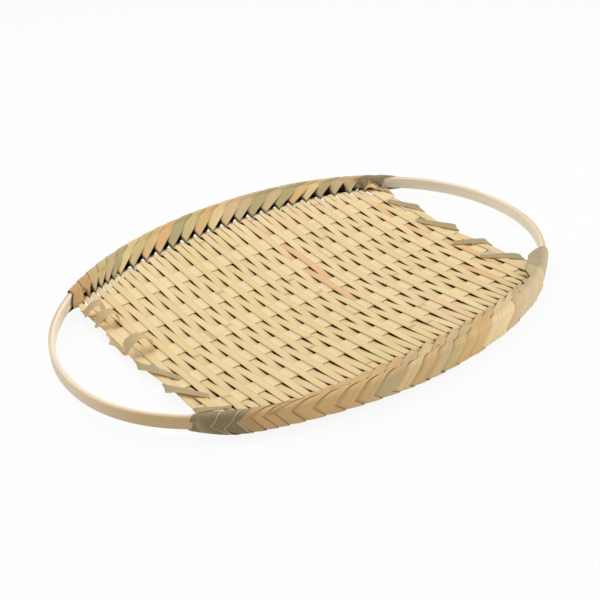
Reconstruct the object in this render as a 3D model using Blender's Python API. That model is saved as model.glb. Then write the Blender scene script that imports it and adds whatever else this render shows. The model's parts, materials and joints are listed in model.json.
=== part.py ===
"""A shallow woven bamboo tray basket with a bent bamboo hoop that forms its two handles.

Metres, +Z up. The origin is on the table under the middle of the tray, and +X runs along its
length, from handle to handle. Turning the tray by half a turn about Z brings it onto itself.
"""

import math

import bmesh
import bpy

# Splints, the flat strips that the tray is woven from
SPLINT_THICKNESS = 0.00045
CLEARANCE = 0.00032  # left between any two pieces that press on each other
CROSS_COUNT = 45
CROSS_WIDTH = 0.00554
CROSS_GAP = 0.00035
LONG_COUNT = 5
LONG_WIDTH = 0.013
ROW_SPACING = 0.035  # between the centre lines of two lengthwise splints
FLAT_MARGIN = 0.001  # a crosswise splint stays level this far past a lengthwise one

# The dish
END_RISE = 0.0035  # the middle of each short end above the middle of the floor
DISH_CURVE = 1.7  # power of the distance from the long axis

# The hoop
HANDLE_REACH = 0.0453  # from the end of the weave to the hoop's centre line
HOOP_HEIGHT = 0.0086
HOOP_THICKNESS = 0.0034
HOOP_EDGE = 0.0006  # rounding of its upper edges
HOOP_ARCH = 0.0024  # the middle of each long side above the corners of the weave
HOOP_STATIONS = 72

# The bound rims, one along each long side
MID_SEAT = 0.019  # from the hoop's centre line in to the line of holes, at mid length
CORNER_SEAT = 0.007  # the same at the corners
CORNER_LEAD = 0.002  # from the outer lengthwise splint to the line of holes, at the corners
HOLE_DROP = 0.0035  # the line of holes below the hoop's centre line
RIM_DEPTH = 0.0117  # the rim's underside below the hoop's centre line, where it is deepest
START_LIFT = 0.0032  # how much shallower the rim gets in its starting half
START_LIFT_AT = 0.083  # the shallowest place, from the middle towards the start
START_LIFT_REACH = 0.095  # how far that shallow stretch runs to each side
END_LIFT = 0.0053  # how much shallower it is past the end of the weave
END_LEAD = 0.004  # it starts to draw in this far before the end of the weave
RIM_OVERLAP = 0.014  # length of hoop past the end of the weave over which it draws in
BEND_RADIUS = 0.0016  # of the turn under the rim
START_FOLD_BACK = 0.0095  # how far the first wraps run back along the rim before they turn
FINISH_FOLD_BACK = 0.004  # the same for the last wraps
WRAP_LAP = 0.0006  # how far each wrap covers the next one
FINISH_REACH = 0.0015  # the last wrap's centre past the end of the weave
START_REACH = 0.007  # the first wrap's centre past the end of the weave
TIP_WIDTH = 0.0022
TIP_DROP = 0.0016  # how far a tip goes down through its hole
TIP_SLANT = 0.0006
NECK_RUN = 0.0012
HEEL = 0.0024  # the wrap is wider than its tip beyond this distance from its hole
NOTCH_LEAD = 0.012  # over this length the crosswise splints draw apart to leave a hole
NOTCH_START = 0.0012  # they are fully apart this far before the line of holes
TUCK = 0.001  # how far a plain end runs past the hoop's centre line
KNEE_LEAD = 0.0008  # a plain end is level this far before the hoop
STARTERS = 3  # short extra wraps that begin each rim
HOLE_SHIFT = 3  # a wrap comes down this many pairs of splints further along
SPREAD_WRAPS = 3  # this many wraps from the starting end are drawn together

# Shares of the way along the rim at each step of a wrap, from its fold to its hole
OUTER_SHARE = 0.25
CROWN_SHARES = (0.28, 0.31, 0.39, 0.44)
CROWN_ANGLES = (math.radians(45), math.radians(90), math.radians(90), math.radians(125))
SLOPE_SHARE = 0.45
HEEL_SHARE = 0.93
SLOPE_WIDTH_SHARE = 0.8
HEEL_WIDTH_SHARE = 0.38
UNDER_ANGLES = (math.radians(-110), math.radians(-55), 0.0)
UNDER_WIDTH_SHARES = (0.0, 0.6, 0.9)
UNDER_TILT_SHARES = (0.0, 1.0, 1.0)

# Where the wraps turn, as shares of the rim's depth below the hoop's centre line
START_FOLD_SHARE = 0.22
FINISH_FOLD_SHARE = 0.72

# The turned-back ends of the lengthwise splints
FOLD_LEAD = 0.0015  # inside the end of the weave, where the splint starts to narrow
FOLD_OUT = 0.0008  # past the end of the weave, where the turn starts
TURN_OUT = 0.0013  # how far the turn itself stands out
TAIL_WIDTH = 0.0062
TAIL_BACK = 0.0135
TAIL_SIDE = 0.021
TAIL_ROOM = 0.0016  # from a tail's edge to the line of holes
TURN_WIDTH_SHARE = 0.7
TAIL_START_SHARE = 0.16
LONG_STATIONS = 13

PITCH = CROSS_WIDTH + CROSS_GAP
MIDDLE = (CROSS_COUNT + 1) / 2
HALF_WEAVE = CROSS_COUNT * PITCH / 2
LIFT = SPLINT_THICKNESS + CLEARANCE
HALF_T = SPLINT_THICKNESS / 2
ROW_REACH = (LONG_COUNT - 1) / 2 * ROW_SPACING
FLAT_REACH = LONG_WIDTH / 2 + FLAT_MARGIN
LAST_FLAT = ROW_REACH + FLAT_REACH
CORNER_HALF_WIDTH = LAST_FLAT + CORNER_LEAD + CORNER_SEAT
HOOP_HALF_LENGTH = HALF_WEAVE + HANDLE_REACH
HOOP_HALF_WIDTH = ROW_REACH + ROW_SPACING + MID_SEAT
SPREAD = LIFT / 2  # a wrap's two edges lie this far in and out of its middle
LAY = CLEARANCE + HALF_T + SPREAD  # from the hoop's face to the middle of the wraps
NOTCH = (TIP_WIDTH + 2 * CLEARANCE - CROSS_GAP) / 2
TUCK_Z = -HOOP_HEIGHT / 2 - CLEARANCE - SPLINT_THICKNESS
WRAP_COUNT = (CROSS_COUNT + 1) // 2
FAR_HOLE = CROSS_COUNT - 1

STRAW = (0.78, 0.60, 0.36)
GREEN_STRAW = (0.66, 0.56, 0.34)
PEACH_STRAW = (0.80, 0.55, 0.34)
OLIVE = (0.40, 0.35, 0.22)
HOOP_TAN = (0.74, 0.58, 0.40)


def solve_exponent():
    """The power of the hoop's rounded oval that takes it through the corners of the weave."""
    low, high = 1.2, 8.0
    along = HALF_WEAVE / HOOP_HALF_LENGTH
    across = CORNER_HALF_WIDTH / HOOP_HALF_WIDTH
    for _ in range(60):
        power = (low + high) / 2
        if along**power + across**power > 1:
            low = power
        else:
            high = power
    return power


OVAL = solve_exponent()


def hoop_y(x):
    """Distance from the long axis to the hoop's centre line."""
    inside = 1 - (abs(x) / HOOP_HALF_LENGTH) ** OVAL
    return HOOP_HALF_WIDTH * inside ** (1 / OVAL)


def hoop_slant(x):
    """How much longer a line across the hoop is along Y than square to the hoop."""
    along = (abs(x) / HOOP_HALF_LENGTH) ** (OVAL - 1)
    inside = 1 - (abs(x) / HOOP_HALF_LENGTH) ** OVAL
    slope = HOOP_HALF_WIDTH / HOOP_HALF_LENGTH * along / inside ** (1 - 1 / OVAL)
    return math.sqrt(1 + slope * slope)


def hoop_z(x):
    return RIM_DEPTH + HOOP_ARCH * (1 - (x / HALF_WEAVE) ** 2)


def smooth(share):
    share = min(max(share, 0), 1)
    return share * share * (3 - 2 * share)


def rim_depth(x):
    """The rim's underside below the hoop's centre line, with the near rim's start at -X."""
    shallow = smooth(1 - abs(x + START_LIFT_AT) / START_LIFT_REACH)
    past_end = smooth((abs(x) - HALF_WEAVE + END_LEAD) / (RIM_OVERLAP + END_LEAD))
    return RIM_DEPTH - START_LIFT * shallow * (1 - past_end) - END_LIFT * past_end


def seat(x):
    """From the hoop's centre line in to the line of holes, along Y."""
    along = min(abs(x) / HALF_WEAVE, 1)
    return CORNER_SEAT + (MID_SEAT - CORNER_SEAT) * (1 - along * along)


def hole_y(x):
    return hoop_y(x) - seat(x)


def hole_z(x):
    return hoop_z(x) - HOLE_DROP


def end_rise(x):
    return END_RISE * (x / HALF_WEAVE) ** 2


def dish_share(x, y):
    return min(abs(y) / hole_y(x), 1) ** DISH_CURVE


def floor_height():
    """The floor's middle height, which stands the middle crosswise splint flat on the table."""
    x = CROSS_WIDTH / 2
    share = dish_share(x, FLAT_REACH)
    return (LIFT + HALF_T - hole_z(x) * share) / (1 - share) - end_rise(x)


FLOOR = floor_height()


def dish_z(x, y):
    """The middle surface of the weave."""
    low = FLOOR + end_rise(x)
    return low + (hole_z(x) - low) * dish_share(x, y)


def lerp(a, b, share):
    return a + (b - a) * share


def cross_x(number):
    return (number - MIDDLE) * PITCH


def hole_x(boundary):
    """Where crosswise splints number boundary and boundary + 1 part."""
    return (boundary + 1 / 2 - MIDDLE) * PITCH


def wrap_hole(wrap):
    """The hole that a wrap comes down in. Near the finishing end there is one beside each splint."""
    paired = 2 * (wrap + HOLE_SHIFT)
    return min(paired, FAR_HOLE - (WRAP_COUNT - 1 - wrap))


NOTCHED = {wrap_hole(wrap) for wrap in range(-STARTERS, WRAP_COUNT)}


def regular_fold_x(wrap):
    back = lerp(START_FOLD_BACK, FINISH_FOLD_BACK, wrap / (WRAP_COUNT - 1))
    return cross_x(2 * wrap + 1) - back


def fold_x(wrap):
    """The middle of a wrap where it changes direction on the rim's outer face."""
    if wrap < SPREAD_WRAPS:
        start = -HALF_WEAVE - START_REACH
        share = (wrap + STARTERS) / (SPREAD_WRAPS + STARTERS)
        return lerp(start, regular_fold_x(SPREAD_WRAPS), share)
    last = WRAP_COUNT - 1
    closing = last - HOLE_SHIFT * 2
    if wrap <= closing:
        return regular_fold_x(wrap)
    finish = HALF_WEAVE + FINISH_REACH
    return lerp(regular_fold_x(closing), finish, (wrap - closing) / (last - closing))


def wrap_x(wrap, share):
    """The middle of a wrap at a share of its way from its fold to its hole."""
    if wrap < -STARTERS:
        return 2 * wrap_x(-STARTERS, share) - wrap_x(1 - STARTERS, share)
    if wrap >= WRAP_COUNT:
        return 2 * wrap_x(WRAP_COUNT - 1, share) - wrap_x(WRAP_COUNT - 2, share)
    return lerp(fold_x(wrap), hole_x(wrap_hole(wrap)), share)


def wrap_edges(wrap, share, width_share=1.0):
    """The two edges of a wrap, each just over the edge of the wrap beside it."""
    middle = wrap_x(wrap, share)
    left = (wrap_x(wrap - 1, share) + middle - WRAP_LAP) / 2
    right = (wrap_x(wrap + 1, share) + middle + WRAP_LAP) / 2
    return lerp(middle, left, width_share), lerp(middle, right, width_share)


def outer_n(x):
    return (HOOP_THICKNESS / 2 + LAY) * hoop_slant(x)


def hole_point(x):
    return -seat(x), -HOLE_DROP


def under_point(angle):
    """A point of the turn under the rim, as a function of the place along the rim."""

    def point(x):
        out = outer_n(x) - BEND_RADIUS + BEND_RADIUS * math.cos(angle)
        lowest = HALF_T + SPREAD - rim_depth(x)
        return out, lowest + BEND_RADIUS + BEND_RADIUS * math.sin(angle)

    return point


def fold_drop(x):
    along = smooth((x + HALF_WEAVE) / (2 * HALF_WEAVE))
    return rim_depth(x) * lerp(START_FOLD_SHARE, FINISH_FOLD_SHARE, along)


def fold_point(x):
    return outer_n(x), -fold_drop(x)


def outer_top_point(x):
    return outer_n(x), HOOP_HEIGHT / 2


def crown_point(angle, side):
    """A point of the turn over one upper edge of the hoop."""

    def point(x):
        out = (side * HOOP_THICKNESS / 2 + LAY * math.cos(angle)) * hoop_slant(x)
        return out, HOOP_HEIGHT / 2 + LAY * math.sin(angle)

    return point


def slope_point(x):
    top = crown_point(CROWN_ANGLES[-1], -1)(x)
    foot = hole_point(x)
    return tuple(lerp(a, b, SLOPE_SHARE) for a, b in zip(top, foot))


def neck_point(x):
    """A wrap stays as narrow as its hole until it has risen clear of the splints beside it."""
    out, up = hole_point(x)
    return out + NECK_RUN, up + LIFT + SPREAD / 2


def heel_point(x):
    top = crown_point(CROWN_ANGLES[-1], -1)(x)
    foot = hole_point(x)
    share = HEEL / (top[0] - foot[0])
    return tuple(lerp(b, a, share) for a, b in zip(top, foot))


def tip_point(x):
    out, up = hole_point(x)
    return out - TIP_SLANT, up - TIP_DROP


def knee_point(x):
    """Where a plain end comes level with the underside of the hoop, just before it."""
    return -(HOOP_THICKNESS / 2 + KNEE_LEAD) * hoop_slant(x), TUCK_Z


def tuck_point(x):
    return TUCK, TUCK_Z


def rim_vertex(point, x, normal, offset):
    """World place of a rim point on the near side, moved along the splint's own normal."""
    out, up = point(x)
    out += normal[0] * offset
    up += normal[1] * offset
    return (x, -(hoop_y(x) + out), hoop_z(x) + up)


def rim_normal(before, after, x):
    """The normal on the splint's upper side, square to the way from one point to the next."""
    a, b = before(x), after(x)
    along = (b[0] - a[0], b[1] - a[1])
    length = math.hypot(*along)
    return -along[1] / length, along[0] / length


def rim_section(before, point, after, edges, tilt):
    """Four corners of a splint where it crosses a rim point: lower pair first, then upper pair."""
    corners = []
    for level in (-HALF_T, HALF_T):
        pair = []
        for x, side in zip(edges, (-1, 1)):
            normal = rim_normal(before, after, x)
            pair.append(rim_vertex(point, x, normal, level - side * SPREAD * tilt))
        corners.append(pair)
    return [corners[0][0], corners[0][1], corners[1][1], corners[1][0]]


def rim_run(steps):
    """Sections at all but the first and last of (point, edges, tilt) steps."""
    run = []
    for before, step, after in zip(steps, steps[1:], steps[2:]):
        run.append(rim_section(before[0], step[0], after[0], step[1], step[2]))
    return run


def wrap_steps(wrap):
    """The steps of a wrap from its fold over the hoop and down into its hole."""
    steps = [(fold_point, wrap_edges(wrap, 0.0), 1.0)]
    steps.append((outer_top_point, wrap_edges(wrap, OUTER_SHARE), 1.0))
    for share, angle, side in zip(CROWN_SHARES, CROWN_ANGLES, (1, 1, -1, -1)):
        steps.append((crown_point(angle, side), wrap_edges(wrap, share), 1.0))
    share = lerp(CROWN_SHARES[-1], 1.0, SLOPE_SHARE)
    steps.append((slope_point, wrap_edges(wrap, share, SLOPE_WIDTH_SHARE), 1.0))
    steps.append((heel_point, wrap_edges(wrap, HEEL_SHARE, HEEL_WIDTH_SHARE), 0.5))
    hole = hole_x(wrap_hole(wrap))
    tip = (hole - TIP_WIDTH / 2, hole + TIP_WIDTH / 2)
    steps += [(point, tip, 0.0) for point in (neck_point, hole_point, tip_point)]
    return steps


def beyond(point, last):
    """The point as far past the last one as the last one is past the point."""

    def further(x):
        a, b = point(x), last(x)
        return 2 * b[0] - a[0], 2 * b[1] - a[1]

    return further


def cross_edges(number, parted):
    """The edges of a crosswise splint, cut in beside each hole by the given share."""
    middle = cross_x(number)
    left = middle - CROSS_WIDTH / 2
    right = middle + CROSS_WIDTH / 2
    if number - 1 in NOTCHED:
        left += NOTCH * parted
    if number in NOTCHED:
        right -= NOTCH * parted
    return left, right


def weave_section(edges, ys, lift):
    """Four corners of a splint in the dish, at one Y for each edge."""
    corners = []
    for level in (lift - HALF_T, lift + HALF_T):
        corners.append([(x, y, dish_z(x, y) + level) for x, y in zip(edges, ys)])
    return [corners[0][0], corners[0][1], corners[1][1], corners[1][0]]


def under_steps(wrap):
    """The steps of a wrap round the rim's underside, where it widens on the way to its fold."""
    fold = fold_x(wrap)
    start = cross_x(2 * wrap + 1) if wrap >= 0 else fold + cross_x(1) - fold_x(0)
    straight = rim_depth(fold) - fold_drop(fold) - BEND_RADIUS - HALF_T - SPREAD
    whole = BEND_RADIUS * (UNDER_ANGLES[-1] - UNDER_ANGLES[0]) + straight
    steps = []
    for angle, width_share, tilt in zip(UNDER_ANGLES, UNDER_WIDTH_SHARES, UNDER_TILT_SHARES):
        middle = lerp(start, fold, BEND_RADIUS * (angle - UNDER_ANGLES[0]) / whole)
        sides = zip((-CROSS_WIDTH / 2, CROSS_WIDTH / 2), wrap_edges(wrap, 0.0))
        both = tuple(middle + lerp(near, edge - fold, width_share) for near, edge in sides)
        steps.append((under_point(angle), both, tilt))
    return steps


def near_end(number):
    """Sections of a crosswise splint's near end, from the last row out. Its own end comes last."""
    run = []
    lead = cross_edges(number, 0.0)
    reach = min(hole_y(x) for x in lead) - NOTCH_LEAD
    if reach > LAST_FLAT + FLAT_MARGIN:
        run.append(weave_section(lead, (-reach, -reach), 0.0))
    edges = cross_edges(number, 1.0)
    ys = [NOTCH_START - hole_y(x) for x in edges]
    run.append(weave_section(edges, ys, 0.0))
    if number % 2 == 0:
        points = (hole_point, hole_point, knee_point, tuck_point, beyond(knee_point, tuck_point))
        return run + rim_run([(point, edges, 0.0) for point in points])
    wrap = (number - 1) // 2
    steps = [(hole_point, edges, 0.0)] * 2
    steps += under_steps(wrap) + wrap_steps(wrap)
    steps.append((beyond(hole_point, tip_point), steps[-1][1], 0.0))
    return run + rim_run(steps)


def half_turn(section):
    """The same section on the other side of the tray, with its left edge first again."""
    turned = [(-x, -y, z) for x, y, z in section]
    return [turned[1], turned[0], turned[3], turned[2]]


def row_sign(number, row):
    """1 where a crosswise splint passes over a lengthwise one, -1 where it passes under."""
    return -1 if (number + row) % 2 else 1


def rows():
    half = (LONG_COUNT - 1) // 2
    return range(-half, half + 1)


def crosswise_sections(number):
    run = near_end(number)[::-1]
    edges = cross_edges(number, 0.0)
    for row in rows():
        for side in (-1, 1):
            y = row * ROW_SPACING + side * FLAT_REACH
            run.append(weave_section(edges, (y, y), row_sign(number, row) * LIFT))
    return run + [half_turn(section) for section in near_end(CROSS_COUNT + 1 - number)]


def starter_sections(wrap):
    """A starting wrap has no splint in the weave: it begins in the turn under the rim."""
    steps = under_steps(wrap) + wrap_steps(wrap)
    steps.append((beyond(hole_point, tip_point), steps[-1][1], 0.0))
    return rim_run(steps)


def long_z(x, row, side):
    """The dish's height at one side of a lengthwise splint, level with the splints across it."""
    inner = dish_z(x, row * ROW_SPACING - FLAT_REACH)
    outer = dish_z(x, row * ROW_SPACING + FLAT_REACH)
    return lerp(inner, outer, (1 + side * LONG_WIDTH / 2 / FLAT_REACH) / 2)


def long_section(x, row, width):
    low, high = [], []
    for side in (-1, 1):
        y = row * ROW_SPACING + side * width / 2
        z = long_z(x, row, side * width / LONG_WIDTH)
        low.append((x, y, z - HALF_T))
        high.append((x, y, z + HALF_T))
    return [low[0], low[1], high[1], high[0]]


def turned_end(row):
    """The end of a lengthwise splint at +X: it turns up and lies back over the weave aslant."""
    middle = row * ROW_SPACING
    start = HALF_WEAVE + FOLD_OUT
    height = LIFT + SPLINT_THICKNESS + CLEARANCE
    base = dish_z(HALF_WEAVE, middle)
    turn_width = LONG_WIDTH * TURN_WIDTH_SHARE
    run = [long_section(HALF_WEAVE - FOLD_LEAD, row, LONG_WIDTH)]
    run.append(long_section(start, row, turn_width))
    bulge, half = TURN_OUT, turn_width / 2
    apex = [(start + bulge, middle - half), (start + bulge, middle + half)]
    inner = [(start + bulge - SPLINT_THICKNESS, y) for _, y in apex]
    z = base + height / 2
    run.append([(*apex[0], z), (*apex[1], z), (*inner[1], z), (*inner[0], z)])
    room = hole_y(HALF_WEAVE) - TAIL_ROOM - TAIL_WIDTH / 2 - middle
    aside = min(TAIL_SIDE, room)
    length = math.hypot(TAIL_BACK, aside)
    along = (-TAIL_BACK / length, aside / length)
    across = (-along[1], along[0])
    half = TAIL_WIDTH / 2
    for share, straight in ((0.0, 1.0), (TAIL_START_SHARE, 0.0), (1.0, 0.0)):
        x = start + along[0] * length * share
        y = middle + along[1] * length * share
        rung = (lerp(across[0], 0.0, straight), lerp(across[1], -1.0, straight))
        size = math.hypot(*rung)
        corners = []
        for side in (1, -1):
            corners.append((x + side * half * rung[0] / size, y + side * half * rung[1] / size))
        heights = [dish_z(min(px, HALF_WEAVE), py) + height for px, py in corners]
        upper = [(*c, h + HALF_T) for c, h in zip(corners, heights)]
        lower = [(*c, h - HALF_T) for c, h in zip(corners, heights)]
        run.append([upper[0], upper[1], lower[1], lower[0]])
    return run


def lengthwise_sections(row):
    run = turned_end(row)
    far = [half_turn(section) for section in turned_end(-row)]
    count = LONG_STATIONS - 1
    reach = HALF_WEAVE - FOLD_LEAD
    xs = [reach * (2 * step / count - 1) for step in range(1, count)]
    return far[::-1] + [long_section(x, row, LONG_WIDTH) for x in xs] + run


def hoop_sections():
    """The hoop's outline, stepped evenly round its oval, with its upper edges taken off."""
    half, top = HOOP_THICKNESS / 2, HOOP_HEIGHT / 2
    profile = [(-half, -top), (half, -top), (half, top - HOOP_EDGE)]
    profile += [(half - HOOP_EDGE, top), (HOOP_EDGE - half, top), (-half, top - HOOP_EDGE)]
    run = []
    for step in range(HOOP_STATIONS):
        angle = math.tau * step / HOOP_STATIONS
        c, s = math.cos(angle), math.sin(angle)
        x = HOOP_HALF_LENGTH * math.copysign(abs(c) ** (2 / OVAL), c)
        y = HOOP_HALF_WIDTH * math.copysign(abs(s) ** (2 / OVAL), s)
        steep_x = math.copysign((abs(x) / HOOP_HALF_LENGTH) ** (OVAL - 1), c) / HOOP_HALF_LENGTH
        steep_y = math.copysign((abs(y) / HOOP_HALF_WIDTH) ** (OVAL - 1), s) / HOOP_HALF_WIDTH
        size = math.hypot(steep_x, steep_y)
        out = (steep_x / size, steep_y / size)
        run.append([(x + out[0] * n, y + out[1] * n, hoop_z(x) + z) for n, z in profile])
    return run


def loft(name, sections, material, closed=False):
    """One closed body through the sections: a band of faces between each two, and two end caps."""
    shape = bmesh.new()
    loops = [[shape.verts.new(point) for point in section] for section in sections]
    count = len(loops[0])
    following = loops[1:] + (loops[:1] if closed else [])
    for first, second in zip(loops, following):
        for corner in range(count):
            other = (corner + 1) % count
            shape.faces.new((first[corner], first[other], second[other], second[corner]))
    if not closed:
        shape.faces.new(loops[0][::-1])
        shape.faces.new(loops[-1])
    bmesh.ops.recalc_face_normals(shape, faces=shape.faces)
    mesh = bpy.data.meshes.new(name)
    shape.to_mesh(mesh)
    shape.free()
    mesh.shade_smooth()
    mesh.set_sharp_from_angle(angle=math.radians(40))
    mesh.materials.append(material)
    made = bpy.data.objects.new(name, mesh)
    bpy.context.scene.collection.objects.link(made)
    return made


def bamboo(name, colour):
    material = bpy.data.materials.new(name)
    material.use_nodes = True
    shader = material.node_tree.nodes["Principled BSDF"]
    shader.inputs["Base Color"].default_value = (*colour, 1.0)
    shader.inputs["Roughness"].default_value = 0.5
    shader.inputs["Metallic"].default_value = 0.0
    return material


def clear_scene():
    for thing in list(bpy.data.objects):
        bpy.data.objects.remove(thing, do_unlink=True)


def build():
    clear_scene()
    loft("hoop", hoop_sections(), bamboo("hoop_bamboo", HOOP_TAN), closed=True)
    tones = (STRAW, GREEN_STRAW, STRAW, PEACH_STRAW, STRAW)
    for number in range(1, CROSS_COUNT + 1):
        name = f"crosswise_splint_{number:02d}"
        tone = tones[number * number % len(tones)]
        loft(name, crosswise_sections(number), bamboo(f"{name}_bamboo", tone))
    for order, row in enumerate(rows(), start=1):
        name = f"lengthwise_splint_{order}"
        loft(name, lengthwise_sections(row), bamboo(f"{name}_bamboo", STRAW))
    for order in range(1, STARTERS + 1):
        near = starter_sections(-order)
        loft(f"near_left_starter_{order}", near, bamboo(f"near_starter_{order}_bamboo", OLIVE))
        far = [half_turn(section) for section in near]
        loft(f"far_right_starter_{order}", far, bamboo(f"far_starter_{order}_bamboo", OLIVE))


build()
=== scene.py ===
# %% [markdown]
# # A woven bamboo tray basket
# The real tray is made from three things: flat splints split from a bamboo stem, one thicker
# bamboo strip bent into a hoop, and patience. Forty-five splints cross the tray, five run along
# it, and the ends of every second crosswise splint are wound over the hoop, where they make the
# thick slanting rims. Where the weave stops, the hoop runs on bare and becomes the two handles.
#
# The packed model already holds every splint at its real size. Here each one is made again with a
# finer shape and a real bamboo finish, and takes the place of its plain solid.

import json
import math
import random
from dataclasses import dataclass

import bpy
import numpy as np
from mathutils import Matrix, Vector

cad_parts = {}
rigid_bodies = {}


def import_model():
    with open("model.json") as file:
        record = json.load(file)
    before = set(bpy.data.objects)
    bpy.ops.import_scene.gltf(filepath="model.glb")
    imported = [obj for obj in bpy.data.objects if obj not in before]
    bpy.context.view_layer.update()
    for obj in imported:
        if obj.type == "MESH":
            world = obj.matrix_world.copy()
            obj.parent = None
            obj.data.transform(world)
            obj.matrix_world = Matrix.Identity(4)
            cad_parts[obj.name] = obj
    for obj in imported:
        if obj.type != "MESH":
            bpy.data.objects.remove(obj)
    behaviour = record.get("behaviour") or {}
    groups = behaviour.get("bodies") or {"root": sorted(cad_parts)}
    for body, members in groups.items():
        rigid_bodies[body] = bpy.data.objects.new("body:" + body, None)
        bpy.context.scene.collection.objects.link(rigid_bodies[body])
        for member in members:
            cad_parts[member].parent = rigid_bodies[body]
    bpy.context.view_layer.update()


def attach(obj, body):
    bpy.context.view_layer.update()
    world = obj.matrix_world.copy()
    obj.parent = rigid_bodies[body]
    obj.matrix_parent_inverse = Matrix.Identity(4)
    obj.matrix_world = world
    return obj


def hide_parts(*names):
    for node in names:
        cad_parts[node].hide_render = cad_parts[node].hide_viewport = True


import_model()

# %% [markdown]
# ## The sizes of the tray
# The new splints have to lie exactly where the solids lie, so the few sizes that shape the tray
# come first: how wide a splint is, how far apart the rows are, how the hoop bends. All of them are
# in metres, with the tray standing on the floor at the origin and its handles pointing along X.

# %% Sizes of the weave, the dish and the hoop
SPLINT_THICKNESS = 0.00045
CROSS_COUNT = 45
CROSS_WIDTH = 0.00554
PITCH = 0.00589
LONG_WIDTH = 0.013
ROW_SPACING = 0.035
ROWS = range(-2, 3)
LIFT = 0.00077  # how far a splint rises over the one it crosses
SPREAD = LIFT / 2  # where two wraps lap, one edge lies this far out and the other this far in
HALF_WEAVE = CROSS_COUNT * PITCH / 2
FLAT_MARGIN = 0.001
FLAT_REACH = LONG_WIDTH / 2 + FLAT_MARGIN
LAST_FLAT = ROWS[-1] * ROW_SPACING + FLAT_REACH
MIDDLE = (CROSS_COUNT + 1) / 2

HANDLE_REACH = 0.0453
CORNER_MARGIN = 0.009
HOOP_HALF_LENGTH = HALF_WEAVE + HANDLE_REACH
HOOP_HALF_WIDTH = 0.124
HOOP_HEIGHT = 0.0086
HOOP_THICKNESS = 0.0034
HOOP_ARCH = 0.0024
RIM_DEPTH = 0.0117
CORNER_HALF_WIDTH = LAST_FLAT + CORNER_MARGIN
print(f"the weave is {2000 * HALF_WEAVE:.0f} mm long")

# %% [markdown]
# ## The hoop's curve
# Bent bamboo takes a rounded oval between a circle and a rectangle. Such a curve has a formula
# with one power in it, and the power is found by trying: the oval has to pass through the four
# corners of the weave.

# %% Find the oval
def find_power():
    low, high = 1.2, 8.0
    along, across = HALF_WEAVE / HOOP_HALF_LENGTH, CORNER_HALF_WIDTH / HOOP_HALF_WIDTH
    for _ in range(60):
        power = (low + high) / 2
        if along**power + across**power > 1:
            low = power
        else:
            high = power
    return power


OVAL = find_power()


def hoop_y(x):
    """Distance from the long axis to the middle of the hoop."""
    return HOOP_HALF_WIDTH * (1 - (abs(x) / HOOP_HALF_LENGTH) ** OVAL) ** (1 / OVAL)


def hoop_slant(x):
    """How much longer a line across the hoop is along Y than square to the hoop."""
    along = (abs(x) / HOOP_HALF_LENGTH) ** (OVAL - 1)
    inside = 1 - (abs(x) / HOOP_HALF_LENGTH) ** OVAL
    slope = HOOP_HALF_WIDTH / HOOP_HALF_LENGTH * along / inside ** (1 - 1 / OVAL)
    return math.sqrt(1 + slope * slope)


def hoop_z(x):
    """Height of the hoop's middle line, which arches a little along each side."""
    return RIM_DEPTH + HOOP_ARCH * (1 - (x / HALF_WEAVE) ** 2)


print(f"the oval's power is {OVAL:.3f}")

# %% [markdown]
# ## The dish
# The weave isn't flat. It hangs from a line of holes beside each rim, where the rim's wraps come
# down, and sinks towards the middle of the tray, which stands on the table. One function gives the
# height of the weave anywhere, and every splint reads it.

# %% The weave's height
HOLE_DROP = 0.0035
DISH_CURVE = 1.7
SEAT_AT_END = 0.007
SEAT_GROWTH = 0.012
WEAVE_END_RISE = 0.0035


def lerp(a, b, share):
    return a + (b - a) * share


def smooth(share):
    share = min(max(share, 0.0), 1.0)
    return share * share * (3 - 2 * share)


def seat(x):
    """From the middle of the hoop in to the line of holes."""
    along = min(abs(x) / HALF_WEAVE, 1)
    return SEAT_AT_END + SEAT_GROWTH * (1 - along * along)


def hole_y(x):
    return hoop_y(x) - seat(x)


def end_rise(x):
    return WEAVE_END_RISE * (x / HALF_WEAVE) ** 2


def dish_share(x, y):
    return min(abs(y) / hole_y(x), 1) ** DISH_CURVE


def floor_height():
    x = CROSS_WIDTH / 2
    share = dish_share(x, FLAT_REACH)
    level = LIFT + SPLINT_THICKNESS / 2 - (hoop_z(x) - HOLE_DROP) * share
    return level / (1 - share) - end_rise(x)


FLOOR = floor_height()


def dish_z(x, y):
    low = FLOOR + end_rise(x)
    return low + (hoop_z(x) - HOLE_DROP - low) * dish_share(x, y)


edge_up = dish_z(0, hole_y(0))
print(f"the middle of the weave is {1000 * FLOOR:.2f} mm up, its edge {1000 * edge_up:.1f} mm")

# %% [markdown]
# ## Bamboo as a material
# A splint has two faces. The flesh side is pale straw with fine fibres, and the skin side, once
# the outside of the stem, is smoother, greener or greyer, and shinier. The weave shows its flesh,
# and the rims show the skin, because there the same splints come up from below.
#
# Shader maths reads better as formulas than as boxes and wires, so a small class wraps a node's
# socket: adding or multiplying two of them adds the Math node that does it.

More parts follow.
